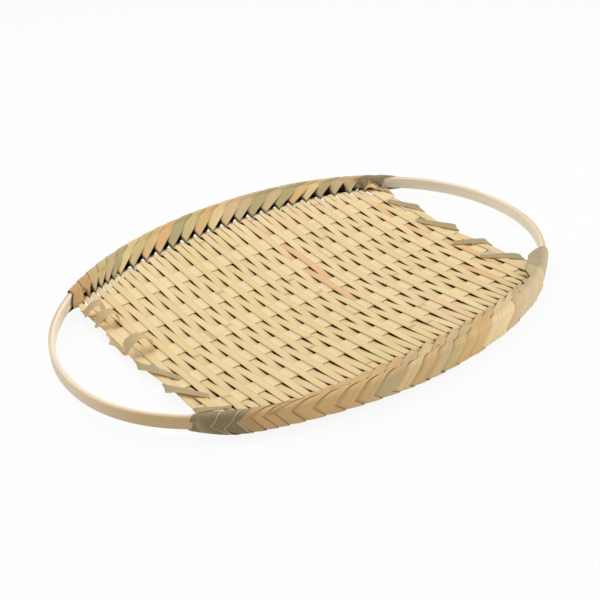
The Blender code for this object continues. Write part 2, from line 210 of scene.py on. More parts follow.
# %% A class for shader formulas
class Socket:
    """A node's output that can be used in a formula."""

    def __init__(self, output):
        self.output = output
        self.tree = output.id_data

    def node(self, kind, settings=None, inputs=None, output=0):
        """Adds a node: its settings first, then the values or links of its sockets."""
        made = self.tree.nodes.new(kind)
        for name, value in (settings or {}).items():
            setattr(made, name, value)
        for name, value in (inputs or {}).items():
            if isinstance(value, Socket):
                self.tree.links.new(value.output, made.inputs[name])
            else:
                made.inputs[name].default_value = value
        return Socket(made.outputs[output])

    def maths(self, operation, *values):
        settings = {"operation": operation}
        return self.node("ShaderNodeMath", settings, dict(enumerate(values)))

    def __add__(self, other):
        return self.maths("ADD", self, other)

    def __sub__(self, other):
        return self.maths("SUBTRACT", self, other)

    def __rsub__(self, other):
        return self.maths("SUBTRACT", other, self)

    def __mul__(self, other):
        return self.maths("MULTIPLY", self, other)

    def __truediv__(self, other):
        return self.maths("DIVIDE", self, other)

    __radd__ = __add__
    __rmul__ = __mul__

    def size(self):
        return self.maths("ABSOLUTE", self)

    def ramp(self, low, high):
        """0 below low, 1 above high and smooth between. With low above high it falls instead."""
        turned = low > high
        ends = (high, low) if turned else (low, high)
        settings = {"interpolation_type": "SMOOTHSTEP"}
        inputs = {"Value": self, "From Min": ends[0], "From Max": ends[1]}
        rising = self.node("ShaderNodeMapRange", settings, inputs)
        return 1 - rising if turned else rising

    def mixed(self, other, share):
        """This colour, with the given share of another colour over it."""
        settings = {"data_type": "RGBA"}
        return self.node("ShaderNodeMix", settings, {0: share, 6: self, 7: other}, output=2)

    def darkened(self, share, depth):
        """This colour times a grey that falls from 1 by depth where share is 1."""
        grey = 1 - share * depth
        settings = {"data_type": "RGBA", "blend_type": "MULTIPLY"}
        level = self.node("ShaderNodeCombineColor", {}, {0: grey, 1: grey, 2: grey})
        return self.node("ShaderNodeMix", settings, {0: 1.0, 6: self, 7: level}, output=2)

    def number(self, name):
        """A number that is stored on the mesh as an attribute."""
        return self.node("ShaderNodeAttribute", {"attribute_name": name}, output=2)

    def axis(self, index):
        """One coordinate of this place."""
        return self.node("ShaderNodeSeparateXYZ", {}, {0: self}, output=index)

    def noise(self, u, v, w, detail=2.0):
        """Noise stretched along the grain, which u, v and w lead through."""
        place = self.node("ShaderNodeCombineXYZ", {}, {0: u, 1: v, 2: w})
        return self.node("ShaderNodeTexNoise", {}, {"Vector": place, "Scale": 1.0, "Detail": detail})


print("a socket can:", ", ".join(name for name in vars(Socket) if name[0] != "_"))

# %% Start a material and link its formulas
def new_material(name):
    """An empty Principled material and a socket to start formulas from."""
    made = bpy.data.materials.new(name)
    made.use_nodes = True
    shader = made.node_tree.nodes["Principled BSDF"]
    return made, shader, Socket(shader.outputs[0])


def connect(shader, **formulas):
    """Links formulas to a shader's sockets, whose names are given with _ for a space."""
    for name, value in formulas.items():
        shader.id_data.links.new(value.output, shader.inputs[name.replace("_", " ")])


print("helpers:", new_material.__name__, "and", connect.__name__)

# %% [markdown]
# ## Colours
# A colour picked from a photograph is an sRGB value from 0 to 255. Blender's sockets want
# linear light, so a helper converts it once, in Python.

# %% Named bamboo colours
def colour(red, green, blue):
    """A linear RGBA colour from sRGB values of 0 to 255."""
    linear = []
    for value in (red, green, blue):
        share = value / 255
        linear.append(share / 12.92 if share < 0.04045 else ((share + 0.055) / 1.055) ** 2.4)
    return (*linear, 1.0)


STRAW = colour(237, 210, 158)
PALE_STRAW = colour(241, 218, 170)
GREEN_STRAW = colour(230, 208, 150)
PINK_STRAW = colour(236, 205, 163)
ORANGE_STRAW = colour(232, 190, 142)
SKIN_TAN = colour(215, 178, 120)
SKIN_PEACH = colour(220, 176, 120)
SKIN_GREEN = colour(204, 184, 126)
SKIN_GREY = colour(200, 175, 130)
SKIN_STRAW = colour(224, 194, 138)
SKIN_PINK = colour(212, 182, 136)
SKIN_PALE = colour(232, 206, 156)
SKIN_DUST = colour(208, 186, 144)
SKIN_CAP = colour(187, 167, 134)
SKIN_OLIVE = colour(142, 126, 92)
SKIN_MOSS = colour(176, 162, 114)
SKIN_DULL = colour(174, 158, 120)
SKIN_BROWN = colour(196, 158, 106)
SCRAPED = colour(238, 224, 186)
# The fibres' own brown on patches, nodes and knots, also used as painted shade beside laps and along
# edges.
FIBRE_AND_SHADE_BROWN = colour(146, 104, 58)
MARK_BROWN = colour(96, 74, 46)
# A deep brown painted as shade where little light reaches: beside a lap, inside the binding, on flesh
# under the rims.
PAINTED_SHADE = colour(78, 48, 20)
print("the weave's straw is", [round(value, 2) for value in STRAW[:3]])

# %% [markdown]
# ## Flesh and skin
# Each splint carries its own colours, its own place on the grain and the distance to its node, the
# ring where the stem was jointed. Its points also know how far they are from an edge and from the
# wrap that laps over them; near both, shade is painted into the colour. All this is stored on the
# mesh as attributes, so two materials serve all the splints and yet no two splints look the same.

# %% How far the traces on a splint reach
NODE_GAP = 0.0011  # between the two lines of a node
KNOT_RADIUS = 0.0011
MARK_SHIFT = 0.05  # added to a mark's distances, so that splints without one have it far away

# Pairs of distances: where a trace on a splint ends, and where it is at its strongest.
NODE_LINE = 0.00032, 0.0001
NODE_HALO = 0.004, 0.0
# LAP_SHADE and LAP_DARK place painted shade and a painted shadow line beside the wrap over a splint;
# EDGE_SHADE places painted shade along its edges.
LAP_SHADE = 0.0075, 0.0016
LAP_DARK = 0.0029, 0.0018
EDGE_SHADE = 0.0009, 0.0002
EDGE_SCRAPE = 0.00045, 0.0002
KNOT_RING = 0.0007, 0.0002
KNOT_HALO = 0.0030, 0.0010
SMUDGE_REACH = 0.0060, 0.0030
print(f"a wrap is shaded up to {1000 * LAP_SHADE[0]} mm from the edge of the one over it")

# %% Make the two splint materials
def splint_finish(name, tone, grain, patch, roughness, coat, bump_height):
    made, shader, start = new_material(name)
    grid = start.node("ShaderNodeUVMap", {"uv_map": "strip"})
    across, along = grid.axis(0), grid.axis(1)
    seed, ring, covered = start.number("seed"), start.number("from_node"), start.number("covered")
    to_edge, scraped = start.number("to_edge"), start.number("scraped")
    knot, smudge = start.number("knot") - MARK_SHIFT, start.number("smudge") - MARK_SHIFT
    base = start.node("ShaderNodeAttribute", {"attribute_name": tone})

    fibres = start.noise(across * 3200, along * 42, seed * 31, detail=3.0)
    strands = start.noise(across * 900, along * 14, seed * 17 + 5)
    patches = start.noise(across * 130, along * 30, seed * 7 + 9)
    shown = base.mixed(FIBRE_AND_SHADE_BROWN, patches.ramp(0.55, 0.85) * patch)
    shown = shown.mixed(PALE_STRAW, patches.ramp(0.45, 0.25) * patch)
    shown = shown.darkened(fibres.ramp(0.52, 0.72), grain)
    shown = shown.darkened(strands.ramp(0.55, 0.75), grain * 0.8)

    line = (ring.size() - NODE_GAP / 2).size().ramp(*NODE_LINE)
    shown = shown.mixed(FIBRE_AND_SHADE_BROWN, line * 0.55 + ring.size().ramp(*NODE_HALO) * 0.1)
    # Painted shade beside the wrap that laps over this one, a painted shadow line at that wrap's edge,
    # and painted shade along the cut edges.
    shown = shown.mixed(FIBRE_AND_SHADE_BROWN, covered.ramp(*LAP_SHADE) * 0.38)
    shown = shown.mixed(PAINTED_SHADE, covered.ramp(*LAP_DARK) * 0.85)
    shown = shown.mixed(FIBRE_AND_SHADE_BROWN, to_edge.ramp(*EDGE_SHADE) * 0.2)
    shown = shown.mixed(SCRAPED, to_edge.ramp(*EDGE_SCRAPE) * scraped)

    from_knot = start.maths("SQRT", across * across + knot * knot)
    shown = shown.mixed(FIBRE_AND_SHADE_BROWN, (from_knot - KNOT_RADIUS).size().ramp(*KNOT_RING) * 0.85)
    shown = shown.mixed(FIBRE_AND_SHADE_BROWN, from_knot.ramp(*KNOT_HALO) * 0.3)
    stripes = start.noise(across * 1700, along * 60, 4.0).ramp(0.50, 0.60)
    shown = shown.mixed(MARK_BROWN, stripes * smudge.size().ramp(*SMUDGE_REACH) * 0.9)

    bumps = fibres * 0.5 + strands * 0.3 + line
    normal = start.node("ShaderNodeBump", {}, {"Height": bumps, "Distance": bump_height})
    gloss = (roughness - 0.12) + fibres * 0.24
    connect(shader, Base_Color=shown, Roughness=gloss, Normal=normal)
    shader.inputs["Coat Weight"].default_value = coat
    shader.inputs["Coat Roughness"].default_value = 0.35
    shader.inputs["Specular IOR Level"].default_value = 0.25
    return made


flesh = splint_finish("bamboo_flesh", "flesh_tone", 0.12, 0.1, 0.62, 0.0, 0.00008)
skin = splint_finish("bamboo_skin", "skin_tone", 0.2, 0.2, 0.5, 0.04, 0.00006)
print("materials:", flesh.name, skin.name)

# %% [markdown]
# ## A flat splint
# Every splint starts as what it is before it is woven: a flat blank. A grid is added, and in edit
# mode it is stretched to the splint's width and length. Its columns run across and its rungs along.
#
# No operator can lead a strip over, under and round a rim, so the blank's rungs are then laid one
# by one on the path that the splint takes. Solidify gives it the thickness of split bamboo: the
# skin is the face that it adds below, and the cut edges keep the colour of the flesh.

# %% Make a blank and lay it on its path
COLUMNS = 4


def deselect():
    if bpy.context.object and bpy.context.object.mode != "OBJECT":
        bpy.ops.object.mode_set(mode="OBJECT")
    bpy.ops.object.select_all(action="DESELECT")


def flat_blank(name, width, length, rungs):
    deselect()
    bpy.ops.mesh.primitive_grid_add(x_subdivisions=COLUMNS, y_subdivisions=rungs - 1, size=1.0)
    blank = bpy.context.object
    blank.name = blank.data.name = name
    bpy.ops.object.mode_set(mode="EDIT")
    bpy.ops.transform.resize(value=(width, length, 1.0))
    bpy.ops.object.mode_set(mode="OBJECT")
    return blank


def lay(blank, places):
    """Moves the blank's points to places[rung][column] and gives it a UV map along the strip."""
    mesh = blank.data
    rungs = len(places)
    points = np.zeros(len(mesh.vertices) * 3)
    mesh.vertices.foreach_get("co", points)
    points = points.reshape(-1, 3)
    spans = points.max(0) - points.min(0)
    column = np.rint((points[:, 0] - points[:, 0].min()) / spans[0] * COLUMNS).astype(int)
    rung = np.rint((points[:, 1] - points[:, 1].min()) / spans[1] * (rungs - 1)).astype(int)
    mesh.vertices.foreach_set("co", places[rung, column].ravel())
    middle = places[:, COLUMNS // 2]
    steps = np.linalg.norm(np.diff(middle, axis=0), axis=1)
    along = np.concatenate(([0.0], np.cumsum(steps)))
    width = np.linalg.norm(places[:, -1] - places[:, 0], axis=1)
    corner = np.zeros(len(mesh.loops), int)
    mesh.loops.foreach_get("vertex_index", corner)
    across = (column / COLUMNS - 0.5) * width[rung]
    grid = np.stack((across[corner], along[rung][corner]), axis=1)
    layer = mesh.uv_layers.active or mesh.uv_layers.new()
    layer.name = "strip"
    layer.data.foreach_set("uv", grid.ravel())
    mesh.update()
    return along, rung, column


print("a blank has", COLUMNS, "faces across")

# %% [markdown]
# ## Smooth paths
# The path of a splint is known at a few places only: where it leaves the weave, where it turns
# under the rim, where it crosses the hoop. A Catmull-Rom curve passes smoothly through such key
# places. A sharp fold is a key where the curve is broken in two.

# %% Curves through key places
def spline(a, b, c, d, count):
    """Points from b towards c on the curve through a, b, c and d, without c itself."""
    times = [0.0]
    for p, q in ((a, b), (b, c), (c, d)):
        times.append(times[-1] + max(np.linalg.norm((q - p)[:6]), 1e-7) ** 0.5)
    t0, t1, t2, t3 = times
    made = []
    for step in range(count):
        t = t1 + (t2 - t1) * step / count
        ab = a + (b - a) * (t - t0) / (t1 - t0)
        bc = b + (c - b) * (t - t1) / (t2 - t1)
        cd = c + (d - c) * (t - t2) / (t3 - t2)
        abc = ab + (bc - ab) * (t - t0) / (t2 - t0)
        bcd = bc + (cd - bc) * (t - t1) / (t3 - t1)
        made.append(abc + (bcd - abc) * (t - t1) / (t2 - t1))
    return made


def through(keys, folds, step):
    """Fine rungs through key rungs. A rung is its left point, right point and their two tilts."""
    keys = [np.asarray(rung, float) for rung in keys]
    fine = []
    for index in range(len(keys) - 1):
        b, c = keys[index], keys[index + 1]
        a = 2 * b - c if index == 0 or index in folds else keys[index - 1]
        last = index + 1 == len(keys) - 1 or index + 1 in folds
        d = 2 * c - b if last else keys[index + 2]
        far = max(np.linalg.norm((c - b)[:3]), np.linalg.norm((c - b)[3:6]))
        fine += spline(a, b, c, d, max(1, round(far / step)))
    fine.append(keys[-1])
    return np.array(fine)


print("half way from 1 to 2 on the curve through 0, 1, 2 and 3:", spline(*np.arange(4.0)[:, None], 2)[1])

# %% Rungs into columns
def spread(rungs, bulge):
    """All columns of each rung, from left to right.

    The middle is raised by bulge times the width. Where a rung is tilted, its left edge comes away
    on the splint's upper side by half a lift, and its right edge goes the other way.
    """
    left, right, tilt = rungs[:, None, :3], rungs[:, None, 3:6], rungs[:, None, 6:]
    tilt_left, tilt_right = tilt[:, :, :1], tilt[:, :, 1:]
    shares = np.linspace(0.0, 1.0, COLUMNS + 1)[None, :, None]
    across = rungs[:, 3:6] - rungs[:, :3]
    along = np.gradient((rungs[:, :3] + rungs[:, 3:6]) / 2, axis=0)
    normal = np.cross(across, along)
    normal /= np.maximum(np.linalg.norm(normal, axis=1, keepdims=True), 1e-12)
    width = np.linalg.norm(across, axis=1)[:, None, None]
    height = np.broadcast_to(bulge, len(rungs))[:, None, None] * width
    lift = tilt_left * (1 - shares) - tilt_right * shares
    bow = 4 * shares * (1 - shares) * height + lift * SPREAD
    places = left * (1 - shares) + right * shares + normal[:, None, :] * bow
    places[:, :, 2] = np.maximum(places[:, :, 2], SPLINT_THICKNESS / 2)
    return places


print("each rung gets", COLUMNS + 1, "points")

# %% [markdown]
# ## Into a finished piece
# One helper takes a path and gives back a finished splint: blank, path, attributes, thickness,
# smooth shading. It also hands the piece to the frame, which then hides the plain solid.

# %% Finish a splint
BLANK_LENGTH = 0.3
NODE_REACH = 0.34
FULLY_SEEN = 0.1  # as far from a lap as this, a splint has no shade
NARROW_SHADE = 0.014
dice = random.Random(45)


def set_attribute(mesh, name, values, kind="FLOAT"):
    layer = mesh.attributes.new(name, kind, "POINT")
    layer.data.foreach_set("value" if kind == "FLOAT" else "color", np.ravel(values))


def finish_splint(name, places, width, tones, node, laps, scraped):
    """Makes the piece.

    tones holds the flesh and the skin colour of each rung. laps is 1 on a rung whose left edge
    dips under the splint before, -1 if it is the right edge, and 0 if neither does. scraped says
    how pale the edges of the skin are.
    """
    blank = flat_blank(name, width, BLANK_LENGTH, len(places))
    along, rung, column = lay(blank, places)
    mesh = blank.data
    set_attribute(mesh, "flesh_tone", np.array(tones[0])[rung], "FLOAT_COLOR")
    set_attribute(mesh, "skin_tone", np.array(tones[1])[rung], "FLOAT_COLOR")
    set_attribute(mesh, "seed", np.full(len(rung), dice.random()))
    set_attribute(mesh, "from_node", along[rung] - dice.uniform(0.0, NODE_REACH))
    widths = np.linalg.norm(places[:, -1] - places[:, 0], axis=1)[rung]
    laps = np.broadcast_to(laps, len(places))[rung]
    from_lap = widths * np.where(laps > 0, column, COLUMNS - column) / COLUMNS
    from_lap += (1 - widths / widths.max()) * NARROW_SHADE
    set_attribute(mesh, "covered", np.where(laps == 0, FULLY_SEEN, from_lap))
    set_attribute(mesh, "to_edge", widths * (0.5 - np.abs(column / COLUMNS - 0.5)))
    set_attribute(mesh, "scraped", np.broadcast_to(scraped, len(places))[rung])
    mesh.materials.append(flesh)
    mesh.materials.append(skin)
    wall = blank.modifiers.new("wall", "SOLIDIFY")
    wall.thickness = SPLINT_THICKNESS
    wall.offset = 0.0
    wall.material_offset = 1
    wall.material_offset_rim = 0
    bpy.ops.object.modifier_apply(modifier=wall.name)
    bpy.ops.object.shade_smooth_by_angle(angle=math.radians(45))
    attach(blank, "root")
    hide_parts(node)


print("a splint is", 1000 * SPLINT_THICKNESS, "mm thick")

# %% [markdown]
# ## The path round a rim
# The rim is the hardest part of the basket. A splint leaves the weave between two holes, passes
# under the hoop, comes up its outer face while it runs back along the rim, folds sharply, and then
# climbs over the hoop and slants down to a hole further on. One splint after the other does the
# same, and their folds make the row of points along the outside.
#
# A place on the rim is given by three numbers: x along the tray, how far out it is from the middle
# of the hoop, and how far up. Both rims follow the same rules as the near one, and the far one is
# then turned by half a turn. Where the two differ, a small class keeps the numbers of each.

# %% Holes and wraps
WRAP_COUNT = 23
STARTERS = 3
FIRST, LAST = -STARTERS, WRAP_COUNT - 1
HOLE_SHIFT = 3
SPREAD_WRAPS = 3
CLOSING = LAST - HOLE_SHIFT * 2


def cross_x(number):
    return (number - MIDDLE) * PITCH


def wrap_hole(wrap):
    """The number of the crosswise splint just before the hole that a wrap comes down in."""
    return min(2 * (wrap + HOLE_SHIFT), CROSS_COUNT - 1 - (LAST - wrap))


@dataclass
class Rim:
    """What differs between the two rims."""

    start: float  # how far past the weave the first starter lies
    reach: float  # how far past the weave the last wrap lies
    notch: float  # how much the splints are cut in beside a hole
    tones: str  # one letter for each wrap
    level: set  # the wraps that lie level with the next one
    travel: tuple  # wraps, each with the share of the way to its hole where it leaves the crown


NEAR = Rim(start=0.0070, reach=0.0095, notch=0.0011, tones="ooobpptttptrstkgttwwkdddcc",
           level={13, 15, 18, 21},
           travel=((-3, 1.15), (-2, 1.0), (-1, 0.9), (1, 0.7), (3, 0.56), (9, 0.54), (14, 0.4),
                   (22, 0.36)))
FAR = Rim(start=0.0115, reach=-0.0035, notch=0.0018, tones="oorrmstmrmrkstgmptgsmrgrbb",
          level=set(), travel=((-3, 1.1), (-2, 0.9), (-1, 0.75), (3, 0.5)))
HOLES = {wrap_hole(wrap) for wrap in range(FIRST, WRAP_COUNT)}
print(f"{WRAP_COUNT} wraps and {STARTERS} short starters on each rim, {len(HOLES)} holes")

# %% Where the wraps fold
FIRST_FOLD_BACK = 0.0095
LAST_FOLD_BACK = 0.004
UNEVEN_FOLD = 0.0009
UNEVEN = [dice.uniform(-UNEVEN_FOLD, UNEVEN_FOLD) for _ in range(WRAP_COUNT)]


def regular_fold(wrap):
    back = lerp(FIRST_FOLD_BACK, LAST_FOLD_BACK, wrap / LAST)
    return cross_x(2 * wrap + 1) - back + UNEVEN[wrap]


def fold_x(wrap, rim):
    """Where a wrap folds."""
    if wrap < SPREAD_WRAPS:
        share = (wrap + STARTERS) / (SPREAD_WRAPS + STARTERS)
        return lerp(-HALF_WEAVE - rim.start, regular_fold(SPREAD_WRAPS), share)
    if wrap <= CLOSING:
        return regular_fold(wrap)
    share = (wrap - CLOSING) / (LAST - CLOSING)
    return lerp(regular_fold(CLOSING), HALF_WEAVE + rim.reach, share)


def wrap_x(wrap, share, rim):
    hole = (wrap_hole(wrap) + 1 / 2 - MIDDLE) * PITCH
    return lerp(fold_x(wrap, rim), hole, share)


print(f"the near rim's folds start at {1000 * fold_x(FIRST, NEAR):.0f} mm")

# %% The rim's underside
CLEARANCE = 0.00032
HALF_T = SPLINT_THICKNESS / 2
LAY = CLEARANCE + HALF_T + SPREAD
BEND_RADIUS = 0.0016
SHALLOW_X = -0.083
SHALLOW_REACH = 0.095
SHALLOW_RISE = 0.0032
ENDING_START = 0.012
ENDING_LENGTH = 0.022
ENDING_RISE = 0.0060


def rim_depth(x):
    """How far the rim reaches below the hoop's middle: less near its start and at its ends."""
    shallow = smooth(1 - abs(x - SHALLOW_X) / SHALLOW_REACH)
    ending = smooth((abs(x) - HALF_WEAVE + ENDING_START) / ENDING_LENGTH)
    return RIM_DEPTH - SHALLOW_RISE * shallow * (1 - ending) - ENDING_RISE * ending


def outer_n(x):
    return (HOOP_THICKNESS / 2 + LAY) * hoop_slant(x)


def under_point(degrees):
    """A place on the bend round the rim's underside. 0 degrees is its outermost place."""
    angle = math.radians(degrees)

    def point(x):
        lowest = HALF_T + SPREAD - rim_depth(x)
        out = outer_n(x) - BEND_RADIUS + BEND_RADIUS * math.cos(angle)
        return out, lowest + BEND_RADIUS + BEND_RADIUS * math.sin(angle)

    return point


print(f"the rim reaches {1000 * rim_depth(0):.1f} mm below the middle of the hoop")

# %% The folds and the crown
FOLDS = (  # x along the near rim and the height of the folds there
    (-0.139, 0.0024), (-0.133, -0.0042), (-0.128, -0.0040), (-0.124, 0.0006), (-0.118, 0.0024),
    (-0.103, 0.0022), (-0.087, 0.0012), (-0.074, -0.0018), (-0.048, -0.0038), (-0.026, -0.0085),
    (0.050, -0.0075), (0.070, -0.0085), (0.130, -0.0070),
)
FOLD_ROOM = 0.0008
FOLD_WANDER = 0.0006
FOLD_PACE = 530
CROWN_RADIUS = 0.00275
CROWN_ROOM = 0.0001
CROWN_Z = HOOP_HEIGHT / 2 + LAY + CROWN_ROOM - CROWN_RADIUS


def fold_height(x):
    """The points of the wraps sit high on the outer face at one end and low at the other."""
    places, heights = zip(*FOLDS)
    lowest = BEND_RADIUS + HALF_T + SPREAD + FOLD_ROOM - rim_depth(x)
    return max(float(np.interp(x, places, heights)) + FOLD_WANDER * math.sin(FOLD_PACE * x), lowest)


def fold_point(x):
    return outer_n(x), fold_height(x)


def crown_point(degrees):
    """A place on the round top of the rim. 0 degrees is outside and 90 is the very top."""
    angle = math.radians(degrees)

    def point(x):
        out = CROWN_RADIUS * math.cos(angle) * hoop_slant(x)
        return out, CROWN_Z + CROWN_RADIUS * math.sin(angle)

    return point


print(f"the rim is {1000 * (rim_depth(0) + CROWN_Z + CROWN_RADIUS):.1f} mm deep in the middle")

# %% From the weave to the rim
LOWEST_TURN = -110
KNEE_ROOM = 0.0008
TUCK_OUT = 0.001
TUCK_Z = -HOOP_HEIGHT / 2 - CLEARANCE - SPLINT_THICKNESS


def hole_point(x):
    return -seat(x), -HOLE_DROP


def way_point(share):
    """A place on the way from the hole line down to the rim's underside."""

    def point(x):
        start, end = hole_point(x), under_point(LOWEST_TURN)(x)
        return lerp(start[0], end[0], share), lerp(start[1], end[1], share**1.3)

    return point


def knee_point(x):
    return -(HOOP_THICKNESS / 2 + KNEE_ROOM) * hoop_slant(x), TUCK_Z


def tuck_point(x):
    return TUCK_OUT, TUCK_Z


def rim_spot(x, out, up):
    """World place on the near side, out and up from the middle of the hoop."""
    return (x, -(hoop_y(x) + out), hoop_z(x) + up)


def rim_place(point, x):
    return rim_spot(x, *point(x))


print("the middle hole is at", [round(1000 * value, 1) for value in rim_place(hole_point, 0.0)], "mm")

# %% [markdown]
# ## The keys of one wrap
# Each key says which place on the rim it crosses and where its left and right edges are. Nearly
# every wrap lies a little over the next one, so its right edge is lifted away from the hoop, and
# its left edge dips under the wrap before. A few lie level, side by side.

# %% Key places of a wrap
LAP = 0.0016
CROWN = ((0.0, 0), (0.15, 40), (0.38, 80), (0.70, 120), (1.0, 150))  # share of the way, degrees
WALL_LEAN = 0.8
CLIMB_SHARE = 0.35


def half_way(places, wrap, rim, width=1.0):
    """The edges of a wrap, half way to its neighbours and a little further for the lap."""
    middle = places(wrap)
    laps = [0.0 if number in rim.level else LAP for number in (wrap - 1, wrap)]
    left = (places(wrap - 1) + middle - laps[0]) / 2
    right = (places(wrap + 1) + middle + laps[1]) / 2
    return lerp(middle, left, width), lerp(middle, right, width)


def tilts(wrap, rim):
    """How far the left edge of a wrap lies in and its right edge out, in half lifts."""
    return [0.0 if number in rim.level else 1.0 for number in (wrap - 1, wrap)]


def key(point, sides, tilt=(0.0, 0.0)):
    return np.array((*rim_place(point, sides[0]), *rim_place(point, sides[1]), *tilt))


def beyond(places):
    """The same places, carried on in a straight line before the first and after the last wrap."""

    def place(wrap):
        if FIRST <= wrap <= LAST:
            return places(wrap)
        end, step = (FIRST, 1) if wrap < FIRST else (LAST, -1)
        return 2 * places(end) - places(end + step)

    return place


def crown_x(wrap, share, rim):
    """The middle of a wrap on the crown. It climbs the wall with the same lean everywhere."""
    fold, hole = fold_x(wrap, rim), wrap_x(wrap, 1.0, rim)
    start = WALL_LEAN * (CROWN_Z - fold_height(fold))
    start = math.copysign(min(start, CLIMB_SHARE * abs(hole - fold)), hole - fold)
    end = float(np.interp(wrap, *zip(*rim.travel)))
    return fold + lerp(start, end * (hole - fold), share)


print(f"a wrap laps {1000 * LAP:.1f} mm over the next")

# %% The foot of a wrap
FOOT_LENGTH = 0.0069
FOOT_INNER = 0.0005, 0.0006  # how far past the hole line the inner corner lies, and how high
FOOT_OUTER_RISE = 0.0025
LAST_FOOT = 0.0035, -0.0045, -0.001  # past the weave, out and up
CAP_WRAPS = 3
CAP_START = 0.012
CAP_STEP = 0.0055
CAP_WIDTH = 0.0065
CAP_INNER = 0.0125, 0.0130
CAP_ROOM = 0.0008
CAP_DROP_SHARE = 0.3


def on_weave(x, out):
    """A place a little above the weave, given by its distance from the middle of the hoop."""
    up = dish_z(min(x, HALF_WEAVE), hoop_y(x) + out) + LIFT + CAP_ROOM - hoop_z(x)
    return rim_spot(x, out, up)


def foot_key(wrap, rim, drop):
    """A wrap goes down along the whole length of its hole, which runs square to the rim.

    The near rim's last wraps are drawn further in and lie on the corner of the weave.
    """
    hole = wrap_x(wrap, 1.0, rim)
    if rim is NEAR and wrap > LAST - CAP_WRAPS:
        x = HALF_WEAVE - CAP_START + CAP_STEP * (wrap - LAST + CAP_WRAPS - 1)
        sides = on_weave(x, -CAP_INNER[0]), on_weave(x + CAP_WIDTH, -CAP_INNER[1])
        down = drop * CAP_DROP_SHARE
        return np.array((*sides[0], *sides[1], 0.0, 0.0)) - (0, 0, down, 0, 0, down, 0, 0)
    length = min(FOOT_LENGTH, 0.5 * seat(hole))
    left = rim_spot(hole, -seat(hole) - FOOT_INNER[0], FOOT_INNER[1] - HOLE_DROP - drop)
    right = rim_spot(hole, length - seat(hole), FOOT_OUTER_RISE - HOLE_DROP - drop)
    if wrap == LAST:
        right = rim_spot(HALF_WEAVE + LAST_FOOT[0], LAST_FOOT[1], LAST_FOOT[2] - drop)
    return np.array((*left, *right, 0.0, 0.0))


print("the middle wrap's foot starts at", foot_key(11, NEAR, 0.0)[:3].round(4), "m")

# %% From the fold to the hole
FOOT_SWELL = 0.0007
FOOT_DROPS = 0.0010, 0.0030
NARROWING = 0.3, 0.6, 0.85  # shares of the way from the crown to the hole


def narrowing(top, foot, down):
    """A rung between the crown and the hole, which keeps its width longer than a plain taper."""
    rung = lerp(top, foot, down)
    middle = (rung[:3] + rung[3:6]) / 2
    half = lerp(top[3:6] - top[:3], foot[3:6] - foot[:3], down**1.4) / 2
    rung[:3], rung[3:6] = middle - half, middle + half
    rung[[2, 5]] += FOOT_SWELL * math.sin(math.pi * down)
    return rung


def over_keys(wrap, rim):
    """From the fold, over the hoop and down into the hole."""
    tilt = tilts(wrap, rim)
    keys = [key(fold_point, half_way(beyond(lambda number: fold_x(number, rim)), wrap, rim), tilt)]
    for share, degrees in CROWN:
        sides = half_way(beyond(lambda number: crown_x(number, share, rim)), wrap, rim)
        keys.append(key(crown_point(degrees), sides, tilt))
    top, foot = keys[-1], foot_key(wrap, rim, 0.0)
    keys += [narrowing(top, foot, down) for down in NARROWING]
    return keys + [foot] + [foot_key(wrap, rim, drop) for drop in FOOT_DROPS]


print("keys from the fold to the hole:", len(over_keys(5, NEAR)))

# %% Below the fold
FIRST_LEAD = 0.0095
LAST_LEAD = 0.0055
UNDER_START = 0.005
UNDER_END = 0.0085


def under_x(wrap, share, rim):
    """The middle of a wrap below its fold. share is 0 at the rim's underside and 1 at the fold."""
    lead = lerp(FIRST_LEAD, LAST_LEAD, max(wrap, 0) / LAST)
    return fold_x(wrap, rim) + lerp(lead, 0.0, share)


def under_sides(wrap, share, rim, width=1.0):
    """The edges of a wrap below its fold. The first wrap reaches as far as the rim does."""
    left, right = half_way(beyond(lambda number: under_x(number, share, rim)), wrap, rim, width)
    start, end = -HALF_WEAVE - rim.start - UNDER_START, HALF_WEAVE + UNDER_END
    left = start if wrap == FIRST else left
    return [min(max(x, start), end) for x in (left, right)]


def under_keys(wrap, rim):
    """Round the underside of the rim, up to the fold."""
    fold = fold_x(wrap, rim)
    straight = rim_depth(fold) + fold_height(fold) - BEND_RADIUS - HALF_T - SPREAD
    whole = BEND_RADIUS * math.radians(-LOWEST_TURN) + straight
    keys = []
    for degrees, tilt in ((LOWEST_TURN, (0.0, 0.0)), (-55, tilts(wrap, rim)), (0, tilts(wrap, rim))):
        share = BEND_RADIUS * math.radians(degrees - LOWEST_TURN) / whole
        keys.append(key(under_point(degrees), under_sides(wrap, share, rim), tilt))
    return keys


print("keys below the fold:", len(under_keys(5, NEAR)))

# %% [markdown]
# ## The crosswise splints
# A crosswise splint goes over one lengthwise splint and under the next, and its neighbours do the
# opposite. Beside each hole it is cut in a little, which leaves room for the foot of a wrap. Hands
# split and weave it, so every splint wanders by a tenth of a millimetre; the small errors come
# from a seeded random generator and are the same each time.

# %% Over and under
NOTCH_LEAD = 0.009
NOTCH_START = 0.0012
FLAT_END = 0.001


def row_sign(number, row):
    """1 where a crosswise splint passes over a lengthwise one, -1 where it passes under."""
    return -1 if (number + row) % 2 else 1


def wave(number, x, y):
    """How far a crosswise splint lies above or below the middle of the weave."""
    row = y / ROW_SPACING
    low = min(max(math.floor(row), ROWS[0]), ROWS[-1])
    if abs(y) >= ROWS[-1] * ROW_SPACING:
        end = hole_y(x) - NOTCH_LEAD
        end = end if end > LAST_FLAT + FLAT_END else hole_y(x) - NOTCH_START
        level = row_sign(number, round(math.copysign(ROWS[-1], y)))
        return level * LIFT * (1 - smooth((abs(y) - LAST_FLAT) / (end - LAST_FLAT)))
    between = (y - low * ROW_SPACING - FLAT_REACH) / (ROW_SPACING - 2 * FLAT_REACH)
    return LIFT * lerp(row_sign(number, low), row_sign(number, low + 1), smooth(between))


